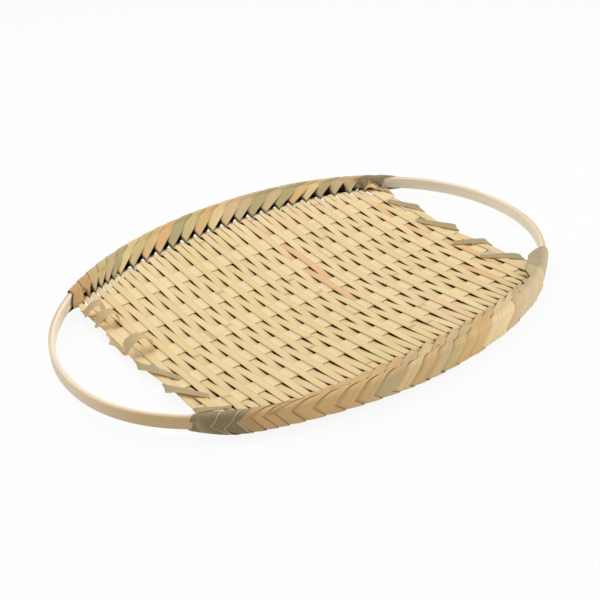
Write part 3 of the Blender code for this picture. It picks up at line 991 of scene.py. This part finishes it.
print(f"splint 23 crosses the middle row at {1000 * wave(23, 0, 0):.2f} mm")

# %% Room beside the holes
SMALL_NOTCH = 0.0004
BOTH_NOTCHED = 0.6
SEEN_WIDTH = 0.0053


def parted(x, y):
    """How far the splints have drawn apart for a hole: 0 not at all, 1 fully."""
    return smooth(1 - (hole_y(x) - abs(y) - NOTCH_START) / (NOTCH_LEAD - NOTCH_START))


def notched_sides(number, share, notch):
    """The edges of a crosswise splint, cut in by a share of the notch beside a hole."""
    both = number - 1 in HOLES and number in HOLES
    left = notch * (BOTH_NOTCHED if both else 1.0) if number - 1 in HOLES else 0.0
    right = SMALL_NOTCH if number in HOLES else 0.0
    middle = cross_x(number)
    return middle - SEEN_WIDTH / 2 + left * share, middle + SEEN_WIDTH / 2 - right * share


def cross_sides(number, y):
    """The left and right edge of a crosswise splint."""
    share = parted(cross_x(number), y)
    if y < 0:
        return notched_sides(number, share, NEAR.notch)
    left, right = notched_sides(CROSS_COUNT + 1 - number, share, FAR.notch)
    return -right, -left


print("the first splint's sides in the middle:", [round(x, 4) for x in cross_sides(1, 0.0)], "m")

# %% Rungs through the weave
WEAVE_STEP = 0.0024
WANDER_ASIDE = 0.00006
WANDER_UP = 0.00004
WANDER_ROLL = 0.00005


class Wander:
    """A slow random drift along a splint: a few sine waves of seeded size and phase."""

    def __init__(self, size):
        self.waves = [(dice.uniform(0.3, 1) * size, dice.uniform(30, 90), dice.uniform(0, 6.3))
                      for _ in range(3)]

    def at(self, y):
        return sum(size * math.sin(pace * y + phase) for size, pace, phase in self.waves)


def weave_rungs(number):
    """Rungs through the weave, from the near line of holes to the far one."""
    aside, raised, rolled = Wander(WANDER_ASIDE), Wander(WANDER_UP), Wander(WANDER_ROLL)
    middle = cross_x(number)
    reach = hole_y(middle) - NOTCH_START
    count = round(2 * reach / WEAVE_STEP)
    rungs = []
    for step in range(count + 1):
        share = 2 * step / count - 1
        level = share * reach
        fade = smooth((1 - abs(share)) * 8)
        rung = []
        for x, side in zip(cross_sides(number, level), (-1, 1)):
            y = share * (hole_y(x) - NOTCH_START)
            z = dish_z(x, y) + wave(number, middle, y)
            z += fade * (raised.at(y) + side * rolled.at(y))
            rung += [x + fade * aside.at(y), y, z]
        rungs.append((*rung, 0.0, 0.0))
    return rungs


def half_turned(rung):
    """The same rung on the other side of the tray, with its left edge first again."""
    lx, ly, lz, rx, ry, rz, tilt_left, tilt_right = rung
    return (-rx, -ry, rz, -lx, -ly, lz, -tilt_right, -tilt_left)


print("rungs across the middle:", len(weave_rungs(23)))

# %% [markdown]
# ## Which splint has which colour
# The photograph shows every wrap of the rims in its own tone: olive where the near rim begins,
# then tan and peach, green and grey towards its end. The tones are listed along each rim, one
# letter for each wrap, in the order in which the wraps lie.

# %% Tones along the rims
TONES = {
    "o": SKIN_OLIVE, "b": SKIN_BROWN, "p": SKIN_PEACH, "t": SKIN_TAN,
    "s": SKIN_STRAW, "g": SKIN_GREEN, "r": SKIN_GREY, "k": SKIN_PINK, "m": SKIN_MOSS,
    "w": SKIN_PALE, "d": SKIN_DUST, "c": SKIN_CAP,
}
STRAWS = (STRAW, STRAW, PALE_STRAW, GREEN_STRAW, PINK_STRAW)
REDDISH = ((26, 0.25, 0.75), (27, 0.45, 0.95), (40, 0.0, 0.35), (43, 0.1, 0.6), (42, 0.5, 0.9))
REDDISH_EDGE = 12
OLIVE_SCRAPED = 0.9
RIM_SCRAPED = 0.12


def rim_tone(rim, wrap):
    return np.array(TONES[rim.tones[wrap + STARTERS]])


def scraped_share(rim, wrap):
    """How pale the scraped edges of a wrap are."""
    return OLIVE_SCRAPED if rim.tones[wrap + STARTERS] == "o" else RIM_SCRAPED


def lap_side(rim, wrap):
    """1 where the wrap's left edge dips under the wrap before, 0 where it lies level with it."""
    return 0 if wrap - 1 in rim.level else 1


def flesh_tone():
    """A quiet mix of two straw colours."""
    first, second = (np.array(dice.choice(STRAWS)) for _ in range(2))
    return lerp(first, second, dice.random())


print("tones:", len(NEAR.tones), "near,", len(FAR.tones), "far")

# %% [markdown]
# ## Weave all forty-five
# The odd splints make the rims' wraps with both their ends. The even ones are tucked under the
# hoop, inside the binding.

# %% The ends of a crosswise splint
RIM_STEP = 0.0013
FOLD_KEY = 7  # the place of the fold among the keys of a splint's end
DEEP_NOTCH = 1.7
WAY_WIDTH = 0.85


def end_keys(number, rim):
    """The keys of a splint's near end, from the hole line outwards."""
    sides = notched_sides(number, 1.0, rim.notch)
    if number % 2 == 0:
        return [key(hole_point, sides), key(knee_point, sides), key(tuck_point, sides)]
    wrap = (number - 1) // 2
    narrow = notched_sides(number, 1.0, DEEP_NOTCH * rim.notch)
    wide = under_sides(wrap, 0.0, rim, WAY_WIDTH)
    keys = [key(hole_point, sides), key(way_point(0.2), narrow), key(way_point(0.6), wide)]
    return keys + under_keys(wrap, rim) + over_keys(wrap, rim)


def end_rungs(number, rim, start):
    keys = [start] + end_keys(number, rim)
    folds = {FOLD_KEY} if number % 2 else set()
    return through(keys, folds, RIM_STEP)[1:]


print("keys of an end:", len(end_keys(1, NEAR)), "if odd,", len(end_keys(2, NEAR)), "if even")

# %% Build the crosswise splints
RIM_BULGE = -0.02
WEAVE_BULGE = 0.02
LIT_RUNGS = 5, 2  # rungs past the weave before its colour turns to painted shade, on even and on odd splints


def straw_tones(number, shares):
    """Quiet straw along the weave, with a reddish stretch on a few splints."""
    tones = lerp(flesh_tone(), flesh_tone(), shares)
    for which, start, end in REDDISH:
        if which == number:
            begins = np.clip((shares - start) * REDDISH_EDGE, 0, 1)
            ends = np.clip((end - shares) * REDDISH_EDGE, 0, 1)
            tones = lerp(tones, np.array(ORANGE_STRAW), begins * ends)
    return tones


def crosswise_splint(number):
    weave = weave_rungs(number)
    near = end_rungs(number, NEAR, weave[0])
    far = end_rungs(CROSS_COUNT + 1 - number, FAR, half_turned(weave[-1]))
    far = [half_turned(rung) for rung in far]
    rungs = np.array(list(near[::-1]) + weave + far)
    past = np.arange(len(rungs)) - len(near)
    part = np.where(past < 0, -1, np.where(past < len(weave), 0, 1))
    bulge = np.where(part == 0, WEAVE_BULGE, RIM_BULGE * dice.uniform(0.7, 1.5))
    bulge = np.convolve(np.pad(bulge, 2, "edge"), np.full(5, 0.2), "valid")
    places = spread(rungs, bulge)

    shares = np.clip(past / len(weave), 0, 1)[:, None]
    lit = LIT_RUNGS[number % 2]
    # Past these rungs the flesh, and on even splints the skin as well, is painted dark as shade, for it
    # lies under the wraps and the hoop.
    shade_share = np.clip(np.maximum(-past - lit, past - len(weave) - lit + 1) / 2, 0, 1)[:, None]
    wrap, far_wrap = (number - 1) // 2, (CROSS_COUNT - number) // 2
    flesh_tones = lerp(straw_tones(number, shares), np.array(PAINTED_SHADE), shade_share)
    skin_tones = lerp(rim_tone(NEAR, wrap), rim_tone(FAR, far_wrap), shares)
    if number % 2 == 0:
        skin_tones = lerp(skin_tones, np.array(PAINTED_SHADE), shade_share)
    edges = np.where(part < 0, scraped_share(NEAR, wrap), scraped_share(FAR, far_wrap))
    laps = np.where(part < 0, lap_side(NEAR, wrap), -lap_side(FAR, far_wrap) * (part > 0))
    name, node = f"cross_strip_{number:02d}", f"crosswise_splint_{number:02d}"
    tones = flesh_tones, skin_tones
    finish_splint(name, places, CROSS_WIDTH, tones, node, laps, edges * (part != 0))


for number in range(1, CROSS_COUNT + 1):
    crosswise_splint(number)
print("crosswise splints:", CROSS_COUNT)

# %% [markdown]
# ## The starters
# Each rim begins with three short wraps of olive or grey skin that have no splint in the weave.
# One end is tucked into the binding. The other goes over the hoop and down, as the wraps do.

# %% Build the starters
TUCK_SHARE = 0.75
TUCK_LIFT = 0.0008
STARTER_FOLD_KEY = 4
STARTER_SCRAPED = 0.85


def even_tones(rungs, *tones):
    """The same tone all along a splint, for its flesh and for its skin."""
    return [np.tile(np.array(tone), (len(rungs), 1)) for tone in tones]


def starter(order, side, rim):
    tucked = key(way_point(TUCK_SHARE), under_sides(-order, 0.0, rim))
    tucked += (0, 0, TUCK_LIFT, 0, 0, TUCK_LIFT, 0, 0)
    keys = [tucked] + under_keys(-order, rim) + over_keys(-order, rim)
    rungs = through(keys, {STARTER_FOLD_KEY}, RIM_STEP)
    if rim is FAR:
        rungs, lap = np.array([half_turned(rung) for rung in rungs]), -1
    else:
        rungs, lap = rungs[::-1], 1
    places = spread(rungs, RIM_BULGE)
    # A starter's flesh faces into the binding and is painted dark as shade all along.
    tones = even_tones(rungs, PAINTED_SHADE, rim_tone(rim, -order))
    name, node = f"{side}_strip_{order}", f"{side}_starter_{order}"
    finish_splint(name, places, CROSS_WIDTH, tones, node, lap, STARTER_SCRAPED)


for order in range(1, STARTERS + 1):
    starter(order, "near_left", NEAR)
    starter(order, "far_right", FAR)
print("starters:", 2 * STARTERS)

# %% [markdown]
# ## A knot and a smudge
# Two wraps of the near rim are easy to recognise: one shows a round knot and one a patch of dark
# streaks. Each gets an attribute with the distance along the splint from the middle of its mark.

# %% Mark two wraps
ON_MIDDLE = 1e-5  # a point this near to a splint's middle line lies on it


def mark(attribute, place):
    """Gives the wrap nearest to a place the distance of each of its points along it from there."""
    gaps = []
    for number in range(1, CROSS_COUNT + 1, 2):
        mesh = bpy.data.objects[f"cross_strip_{number:02d}"].data
        for corner, strip in zip(mesh.loops, mesh.uv_layers["strip"].data):
            if abs(strip.uv[0]) < ON_MIDDLE:
                gap = (mesh.vertices[corner.vertex_index].co - Vector(place)).length
                gaps.append((gap, number, strip.uv[1]))
    gap, number, middle = min(gaps)
    mesh = bpy.data.objects[f"cross_strip_{number:02d}"].data
    along = np.zeros(len(mesh.vertices))
    for corner, strip in zip(mesh.loops, mesh.uv_layers["strip"].data):
        along[corner.vertex_index] = strip.uv[1]
    set_attribute(mesh, attribute, along - middle + MARK_SHIFT)
    print(f"{attribute} on wrap {(number - 1) // 2}, {1000 * gap:.1f} mm from its place")


mark("knot", rim_spot(0.0058, -0.0057, 0.0035))
mark("smudge", rim_spot(-0.1060, 0.0026, 0.0040))

# %% [markdown]
# ## The lengthwise splints
# Five broad splints run from end to end. At both ends they are bent up and laid back over the
# weave aslant, some flat and some standing up in a curl. Each end is a short list of places along
# the splint: how far out, how far aside, how high, how wide, and how far the splint has turned.

# %% Rungs of a lengthwise splint
BODY_END = 0.0015
TAIL_START = 0.0008


def long_rung(x, row, width):
    y = row * ROW_SPACING
    heights = [dish_z(x, y + side * FLAT_REACH) for side in (1, -1)]
    slope = (heights[0] - heights[1]) / 2 / FLAT_REACH * width / 2
    z = (heights[0] + heights[1]) / 2
    return (x, y + width / 2, z + slope, x, y - width / 2, z - slope, 0.0, 0.0)


def tail_keys(row, places):
    """Rungs of the turned-back end at +X.

    Each place is out, aside, up and width, in millimetres, and turn and roll, in degrees.
    """
    start = HALF_WEAVE + TAIL_START
    middle = row * ROW_SPACING
    keys = [long_rung(HALF_WEAVE - BODY_END, row, LONG_WIDTH)]
    for out, aside, up, width, turn, roll in places:
        x, y = start + out / 1000, middle + aside / 1000
        z = dish_z(min(x, HALF_WEAVE), y) + up / 1000
        turn, roll, half = math.radians(turn), math.radians(roll), width / 2000
        dx, dy = math.sin(turn) * math.cos(roll) * half, math.cos(turn) * math.cos(roll) * half
        dz = math.sin(roll) * half
        keys.append((x + dx, y + dy, z + dz, x - dx, y - dy, z - dz, 0.0, 0.0))
    return keys


print("left point in the middle:", [round(value, 4) for value in long_rung(0, 0, LONG_WIDTH)[:3]], "m")

# %% The turned-back ends, place by place
RIGHT_TAILS = {
    -2: ((0, 0, 0, 10, 0, 0), (0.8, 2, 0.6, 8, 20, 0), (-2, 7, 1.6, 6.4, 45, 3),
         (-8, 14, 1.7, 5.0, 48, 5), (-18, 25, 1.4, 3.6, 48, 3)),
    -1: ((0, 0, 0, 10, 0, 0), (1.2, 0, 0.8, 8, 10, 0), (0.2, 2, 1.8, 6.4, 35, 5),
         (-6, 8, 2.1, 5.0, 46, 8), (-17, 18, 1.5, 4.2, 46, 4)),
    0: ((0, -1, 0, 9.5, 0, 0), (1.2, -3, 0.8, 8, 20, 0), (0.2, -2, 1.8, 6.4, 45, 5),
        (-5, 8, 2.1, 5.0, 64, 8), (-13, 25, 1.5, 4.2, 64, 4)),
    1: ((0, 0, 0, 10, 0, 0), (1.2, 0, 0.8, 8, 10, 0), (0.2, 3, 1.8, 6.4, 40, 5),
        (-4, 11, 2.1, 5.0, 65, 8), (-11, 26, 1.5, 4.2, 65, 4)),
    2: ((0, 0, 0, 10, 0, 0), (1.2, 1, 0.6, 8, 20, 0), (-0.5, 5, 1.3, 5, 45, 0),
        (-3, 8, 1.4, 3.6, 55, 0), (-6, 10.5, 2.6, 4.6, 60, 0), (-9, 12.5, 4.4, 6.4, 55, 0),
        (-12, 14, 3.6, 6.6, 50, 0), (-13.5, 14.6, 1.8, 6, 45, 0)),
}
LEFT_TAILS = {
    2: ((0, 0, 0, 10, 0, 0), (1.0, 3, 1.2, 9, 20, 0), (-0.6, 6.0, 5.0, 8.4, 20, 0),
        (-4.0, 7.6, 9.0, 7.6, 20, 0), (-8.0, 9.4, 10.0, 6.6, 30, 0), (-8.6, 12, 6.4, 5.4, 55, 0),
        (-4.4, 15.6, 2.4, 5, 80, 0), (0.0, 18.5, 1.2, 6, 60, 0), (0.8, 20.8, 3.6, 7.6, 15, 0),
        (-0.8, 21.4, 7.4, 8.2, 4, 0), (-4.8, 21.6, 10.0, 8.0, 2, 0), (-10.0, 21.4, 9.6, 7.2, 2, 0),
        (-13.4, 21, 6.2, 6.4, 4, 0), (-14.0, 21, 2.6, 5.6, 4, 0)),
    1: ((0, 0, 0, 10, 0, 0), (1.0, 4, 0.4, 6, 60, 0), (0.2, 9, 0.4, 3.6, 85, 0),
        (0.2, 16, 0.5, 3.4, 88, 0), (0.6, 21, 1.0, 4.6, 60, 0), (0.9, 23.4, 3.0, 7.6, 20, 0),
        (0.2, 23.8, 6.8, 9.0, 2, 0), (-3.6, 24.2, 10.6, 8.8, 0, 0), (-9.0, 24.4, 11.8, 8.2, 0, 0),
        (-13.6, 24.4, 9.6, 7.4, 0, 0), (-16.0, 24.4, 6.2, 6.4, 0, 0), (-16.6, 24.2, 3.2, 5.6, 0, 0)),
    0: ((0, 0, 0, 10, 0, 0), (1.3, 2, 0.9, 9, 20, 0), (0.5, 8, 2.0, 7.5, 55, 8),
        (-3, 15, 2.5, 6.6, 65, 14), (-11, 32, 1.5, 3.6, 65, 8)),
    -1: ((0, 0, 0, 10, 0, 0), (1.3, 0, 0.9, 9, 20, 0), (0.3, 4, 2.0, 7.5, 50, 8),
         (-4, 11, 2.5, 6.4, 62, 14), (-13.5, 25, 1.5, 4, 60, 8)),
    -2: ((0, 0, 0, 10, 0, 0), (0.9, -1, 0.6, 8, 10, 0), (0.1, -2, 1.3, 5.2, 30, 0),
         (-4, 0.5, 1.6, 4.0, 55, 4), (-10, 4.4, 1.5, 3.2, 58, 6), (-17, 8.4, 1.3, 2.2, 58, 4)),
}


print("the longest end has", max(len(places) for places in LEFT_TAILS.values()), "places")

# %% Build the lengthwise splints
LONG_STEP = 0.00147
LONG_BULGE = 0.01
LONG_SCRAPED = 0.2
TAIL_TONES = {2: SKIN_GREY, 1: SKIN_GREY}
KNOT_RUNGS = 9  # the last one's right end is a reddish knot


def lengthwise_splint(order, row):
    count = round(2 * HALF_WEAVE / LONG_STEP)
    reach = HALF_WEAVE - BODY_END
    body = [long_rung(reach * (2 * step / count - 1), row, LONG_WIDTH) for step in range(1, count)]
    right = through(tail_keys(row, RIGHT_TAILS[row]), set(), RIM_STEP)
    left = through(tail_keys(-row, LEFT_TAILS[row]), set(), RIM_STEP)
    rungs = np.array([half_turned(rung) for rung in left[::-1]] + body + list(right))
    places = spread(rungs, LONG_BULGE)
    plain, skin = even_tones(rungs, PALE_STRAW, SKIN_DULL)
    skin[: len(left)] = TAIL_TONES.get(row, SKIN_DULL)
    if row == ROWS[-1]:
        skin[-KNOT_RUNGS:] = SKIN_PEACH
    name, node, tones = f"long_strip_{order}", f"lengthwise_splint_{order}", (plain, skin)
    finish_splint(name, places, LONG_WIDTH, tones, node, 0, LONG_SCRAPED)


for order, row in enumerate(ROWS, start=1):
    lengthwise_splint(order, row)
print("lengthwise splints:", len(ROWS))

# %% [markdown]
# ## The hoop
# The hoop is a bamboo strip on edge. A circle of points is added, brought onto the oval, and
# extruded upwards to the strip's height. Solidify makes it thick, and a bevel rounds its edges as
# a knife and years of hands do.

# %% The hoop's finish
HOOP_PALE = colour(250, 236, 208)
HOOP_OUTSIDE = colour(236, 214, 178)
HOOP_SIDE_SHADE = colour(214, 181, 132)
# A tan painted as shade on the hoop's outer face.
HOOP_BAND = colour(200, 164, 116)
HOOP_CLOUD = colour(240, 226, 200)


def hoop_finish():
    made, shader, start = new_material("bamboo_hoop")
    grid = start.node("ShaderNodeUVMap", {"uv_map": "strip"})
    up, along = grid.axis(0), grid.axis(1)
    outside, side_shade, shade_share = (start.number(name) for name in ("outside", "side_shade", "shade_share"))
    fibres = start.noise(up * 2600, along * 16, 3.0, detail=3.0)
    bands = start.noise(up * 420, along * 5, 8.0)
    clouds = start.noise(up * 60, along * 14, 2.0)
    pale = start.node("ShaderNodeRGB")
    pale.output.default_value = HOOP_PALE
    # The outer face is painted a darker tan towards the long sides, as shade.
    shown = pale.mixed(HOOP_OUTSIDE, outside).mixed(HOOP_SIDE_SHADE, side_shade)
    shown = shown.mixed(HOOP_BAND, bands.ramp(0.45, 0.75) * 0.3)
    shown = shown.mixed(HOOP_CLOUD, clouds.ramp(0.5, 0.3) * 0.4)
    # Inside the binding the hoop is painted dark as shade.
    shown = shown.darkened(fibres.ramp(0.5, 0.72), 0.12).mixed(PAINTED_SHADE, shade_share)
    normal = start.node("ShaderNodeBump", {}, {"Height": fibres + bands, "Distance": 0.0001})
    gloss = 0.34 + fibres * 0.2
    connect(shader, Base_Color=shown, Roughness=gloss, Normal=normal)
    return made


print("the hoop's pale side is", [round(value, 2) for value in HOOP_PALE[:3]])

# %% The hoop as a bare ring
HOOP_STATIONS = 192
HOOP_ROWS = 4
MEAN_RADIUS = 0.155


def hoop_ring():
    deselect()
    bpy.ops.mesh.primitive_circle_add(vertices=HOOP_STATIONS, radius=HOOP_HALF_WIDTH)
    ring = bpy.context.object
    ring.name = ring.data.name = "hoop_strip"
    for vertex in ring.data.vertices:
        angle = math.atan2(vertex.co.y, vertex.co.x)
        c, s = math.cos(angle), math.sin(angle)
        x = HOOP_HALF_LENGTH * math.copysign(abs(c) ** (2 / OVAL), c)
        y = HOOP_HALF_WIDTH * math.copysign(abs(s) ** (2 / OVAL), s)
        vertex.co = (x, y, hoop_z(x) - HOOP_HEIGHT / 2)
    bpy.ops.object.mode_set(mode="EDIT")
    bpy.ops.mesh.select_all(action="SELECT")
    step = {"value": (0.0, 0.0, HOOP_HEIGHT / HOOP_ROWS)}
    for _ in range(HOOP_ROWS):
        bpy.ops.mesh.extrude_region_move(TRANSFORM_OT_translate=step)
    bpy.ops.mesh.select_all(action="SELECT")
    bpy.ops.mesh.normals_make_consistent(inside=False)
    bpy.ops.object.mode_set(mode="OBJECT")
    return ring


ring = hoop_ring()
mesh = ring.data
layer = mesh.uv_layers.new(name="strip")
for face in mesh.polygons:
    places = [mesh.vertices[mesh.loops[i].vertex_index].co for i in face.loop_indices]
    angles = [math.atan2(place.y, place.x) for place in places]
    closes = max(angles) - min(angles) > math.pi
    for i, place, angle in zip(face.loop_indices, places, angles):
        turned = angle + math.tau if closes and angle < 0 else angle
        layer.data[i].uv = (place.z - hoop_z(place.x), turned * MEAN_RADIUS)
print("faces of the bare ring:", len(mesh.polygons))

# %% Build the hoop
HOOP_BEVEL = 0.0007
HIDDEN_END = HALF_WEAVE - 0.012
HIDDEN_FADE = 0.006
SIDE_SHADE_START = 0.01
SIDE_SHADE_FADE = 0.06


def oval_size(x, y):
    """Below 1 inside the hoop's middle line and above 1 outside it."""
    return (abs(x) / HOOP_HALF_LENGTH) ** OVAL + (abs(y) / HOOP_HALF_WIDTH) ** OVAL


# Where the hoop runs inside the binding, shade is painted onto it.
shade_share = [smooth((HIDDEN_END - abs(v.co.x)) / HIDDEN_FADE) for v in mesh.vertices]
set_attribute(mesh, "shade_share", shade_share)
wall = ring.modifiers.new("wall", "SOLIDIFY")
wall.thickness = HOOP_THICKNESS
wall.offset = 0.0
edges = ring.modifiers.new("edges", "BEVEL")
edges.width = HOOP_BEVEL
edges.segments = 3
edges.limit_method = "ANGLE"
edges.angle_limit = math.radians(40)
for modifier in ("wall", "edges"):
    bpy.ops.object.modifier_apply(modifier=modifier)
outside = [float(oval_size(v.co.x, v.co.y) > 1) for v in mesh.vertices]
set_attribute(mesh, "outside", outside)
# The outer face gets painted shade, darker towards the long sides.
side_shaded = [smooth((abs(v.co.y) - SIDE_SHADE_START) / SIDE_SHADE_FADE) for v in mesh.vertices]
side_shade = [out * share for out, share in zip(outside, side_shaded)]
set_attribute(mesh, "side_shade", side_shade)
bpy.ops.object.shade_smooth_by_angle(angle=math.radians(50))
mesh.materials.append(hoop_finish())
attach(ring, "root")
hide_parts("hoop")
print("hoop faces:", len(mesh.polygons))

# %% [markdown]
# ## Floor, light and camera
# The tray stands on a plain white floor under two large soft lamps and a pale sky, so its shadows
# are soft and its colours show as they are. The camera sees the floor and the sky whiter than the
# light they give, which makes the ground white without more light on the bamboo. Beneath the
# weave, where the tray hides it, the floor is painted brown as shade, so the slits between the
# splints stay dark.

# %% Floor
FLOOR_SIZE = 6.0
FLOOR_GLOW = 0.9
FLOOR_PALE = (0.9, 0.9, 0.9, 1.0)
SHADE_BROWN = colour(104, 60, 18)
SHADE_X, SHADE_Y = 0.005, 0.003  # the camera looks in aslant, so the brown lies a little aside
SHADE_OVAL = 0.94, 0.87
SHADE_END = HALF_WEAVE - 0.001, HALF_WEAVE - 0.006


def seen(start):
    """1 for the rays that show the ground and the sky: straight, mirrored or through glass."""
    names = ("Is Camera Ray", "Is Glossy Ray", "Is Transmission Ray")
    camera, glossy, glass = (start.node("ShaderNodeLightPath", output=name) for name in names)
    return start.maths("MAXIMUM", camera, start.maths("MAXIMUM", glossy, glass))


deselect()
bpy.ops.mesh.primitive_plane_add(size=FLOOR_SIZE)
floor = bpy.context.object
floor.name = "floor"
ground, shader, start = new_material("white_floor")
shader.inputs["Roughness"].default_value = 0.9
shader.inputs["Specular IOR Level"].default_value = 0.0
spot = start.node("ShaderNodeTexCoord", output=3)
spot_x, spot_y = (spot.axis(0) - SHADE_X).size(), (spot.axis(1) - SHADE_Y).size()
bulk = start.maths("POWER", spot_x / HOOP_HALF_LENGTH, OVAL)
bulk = bulk + start.maths("POWER", spot_y / HOOP_HALF_WIDTH, OVAL)
# The painted shade on the floor beneath the weave.
beneath = bulk.ramp(*SHADE_OVAL) * spot_x.ramp(*SHADE_END)
pale = start.node("ShaderNodeRGB")
pale.output.default_value = FLOOR_PALE
connect(shader, Base_Color=pale.mixed(SHADE_BROWN, beneath))
white = start.node("ShaderNodeEmission", {}, {"Color": (1.0, 1.0, 1.0, 1.0), "Strength": 1.0})
glow = seen(start) * FLOOR_GLOW * (1 - beneath)
both = start.node("ShaderNodeMixShader", {}, {0: glow, 1: start, 2: white})
connect(ground.node_tree.nodes["Material Output"], Surface=both)
floor.data.materials.append(ground)
print(f"the floor is {FLOOR_SIZE} m wide")

# %% Sky
SKY_STRENGTH = 0.46
world = bpy.data.worlds.new("studio")
bpy.context.scene.world = world
world.use_nodes = True
sky = world.node_tree.nodes["Background"]
sky.inputs["Color"].default_value = (1.0, 1.0, 1.0, 1.0)
connect(sky, Strength=lerp(SKY_STRENGTH, 1.0, seen(Socket(sky.outputs[0]))))
print(f"the sky gives {SKY_STRENGTH} of the light that it shows")

# %% Lamps
def softbox(name, place, size, power):
    lamp = bpy.data.lights.new(name, "AREA")
    lamp.shape = "RECTANGLE"
    lamp.size, lamp.size_y = size
    lamp.energy = power
    box = bpy.data.objects.new(name, lamp)
    bpy.context.scene.collection.objects.link(box)
    box.location = place
    box.rotation_euler = (-Vector(place)).to_track_quat("-Z", "Y").to_euler()
    print(f"{name}: {lamp.energy:.2f} W")


softbox("top_light", (-0.15, 0.35, 0.95), (0.9, 0.7), 5.35)
softbox("side_light", (0.85, -0.65, 0.42), (0.6, 0.6), 6.1)

# %% Camera
AZIMUTH, ELEVATION, ROLL = (math.radians(value) for value in (-35.6223, 31.6643, -2.8012))
IMAGE_SIZE = 600
FOCAL_PIXELS = 1057.63
CAMERA_PLACE = Vector((-0.0065, -0.0087, 0.7127))  # right, up and back, along its own axes
CENTRE = Vector((0, 0, 0.0065))

back = Vector((math.sin(AZIMUTH) * math.cos(ELEVATION),
               -math.cos(AZIMUTH) * math.cos(ELEVATION), math.sin(ELEVATION)))
right = Vector((0, 0, 1)).cross(back).normalized()
up = back.cross(right)
turned_right = math.cos(ROLL) * right + math.sin(ROLL) * up
turned_up = -math.sin(ROLL) * right + math.cos(ROLL) * up
turn = Matrix((turned_right, turned_up, back)).transposed()
lens = bpy.data.cameras.new("camera")
lens.sensor_width = 36.0
lens.lens = FOCAL_PIXELS / IMAGE_SIZE * lens.sensor_width
camera = bpy.data.objects.new("camera", lens)
bpy.context.scene.collection.objects.link(camera)
camera.matrix_world = Matrix.Translation(turn @ CAMERA_PLACE + CENTRE) @ turn.to_4x4()
bpy.context.scene.camera = camera
bpy.context.scene.view_settings.view_transform = "Standard"
print(f"lens {lens.lens:.1f} mm")
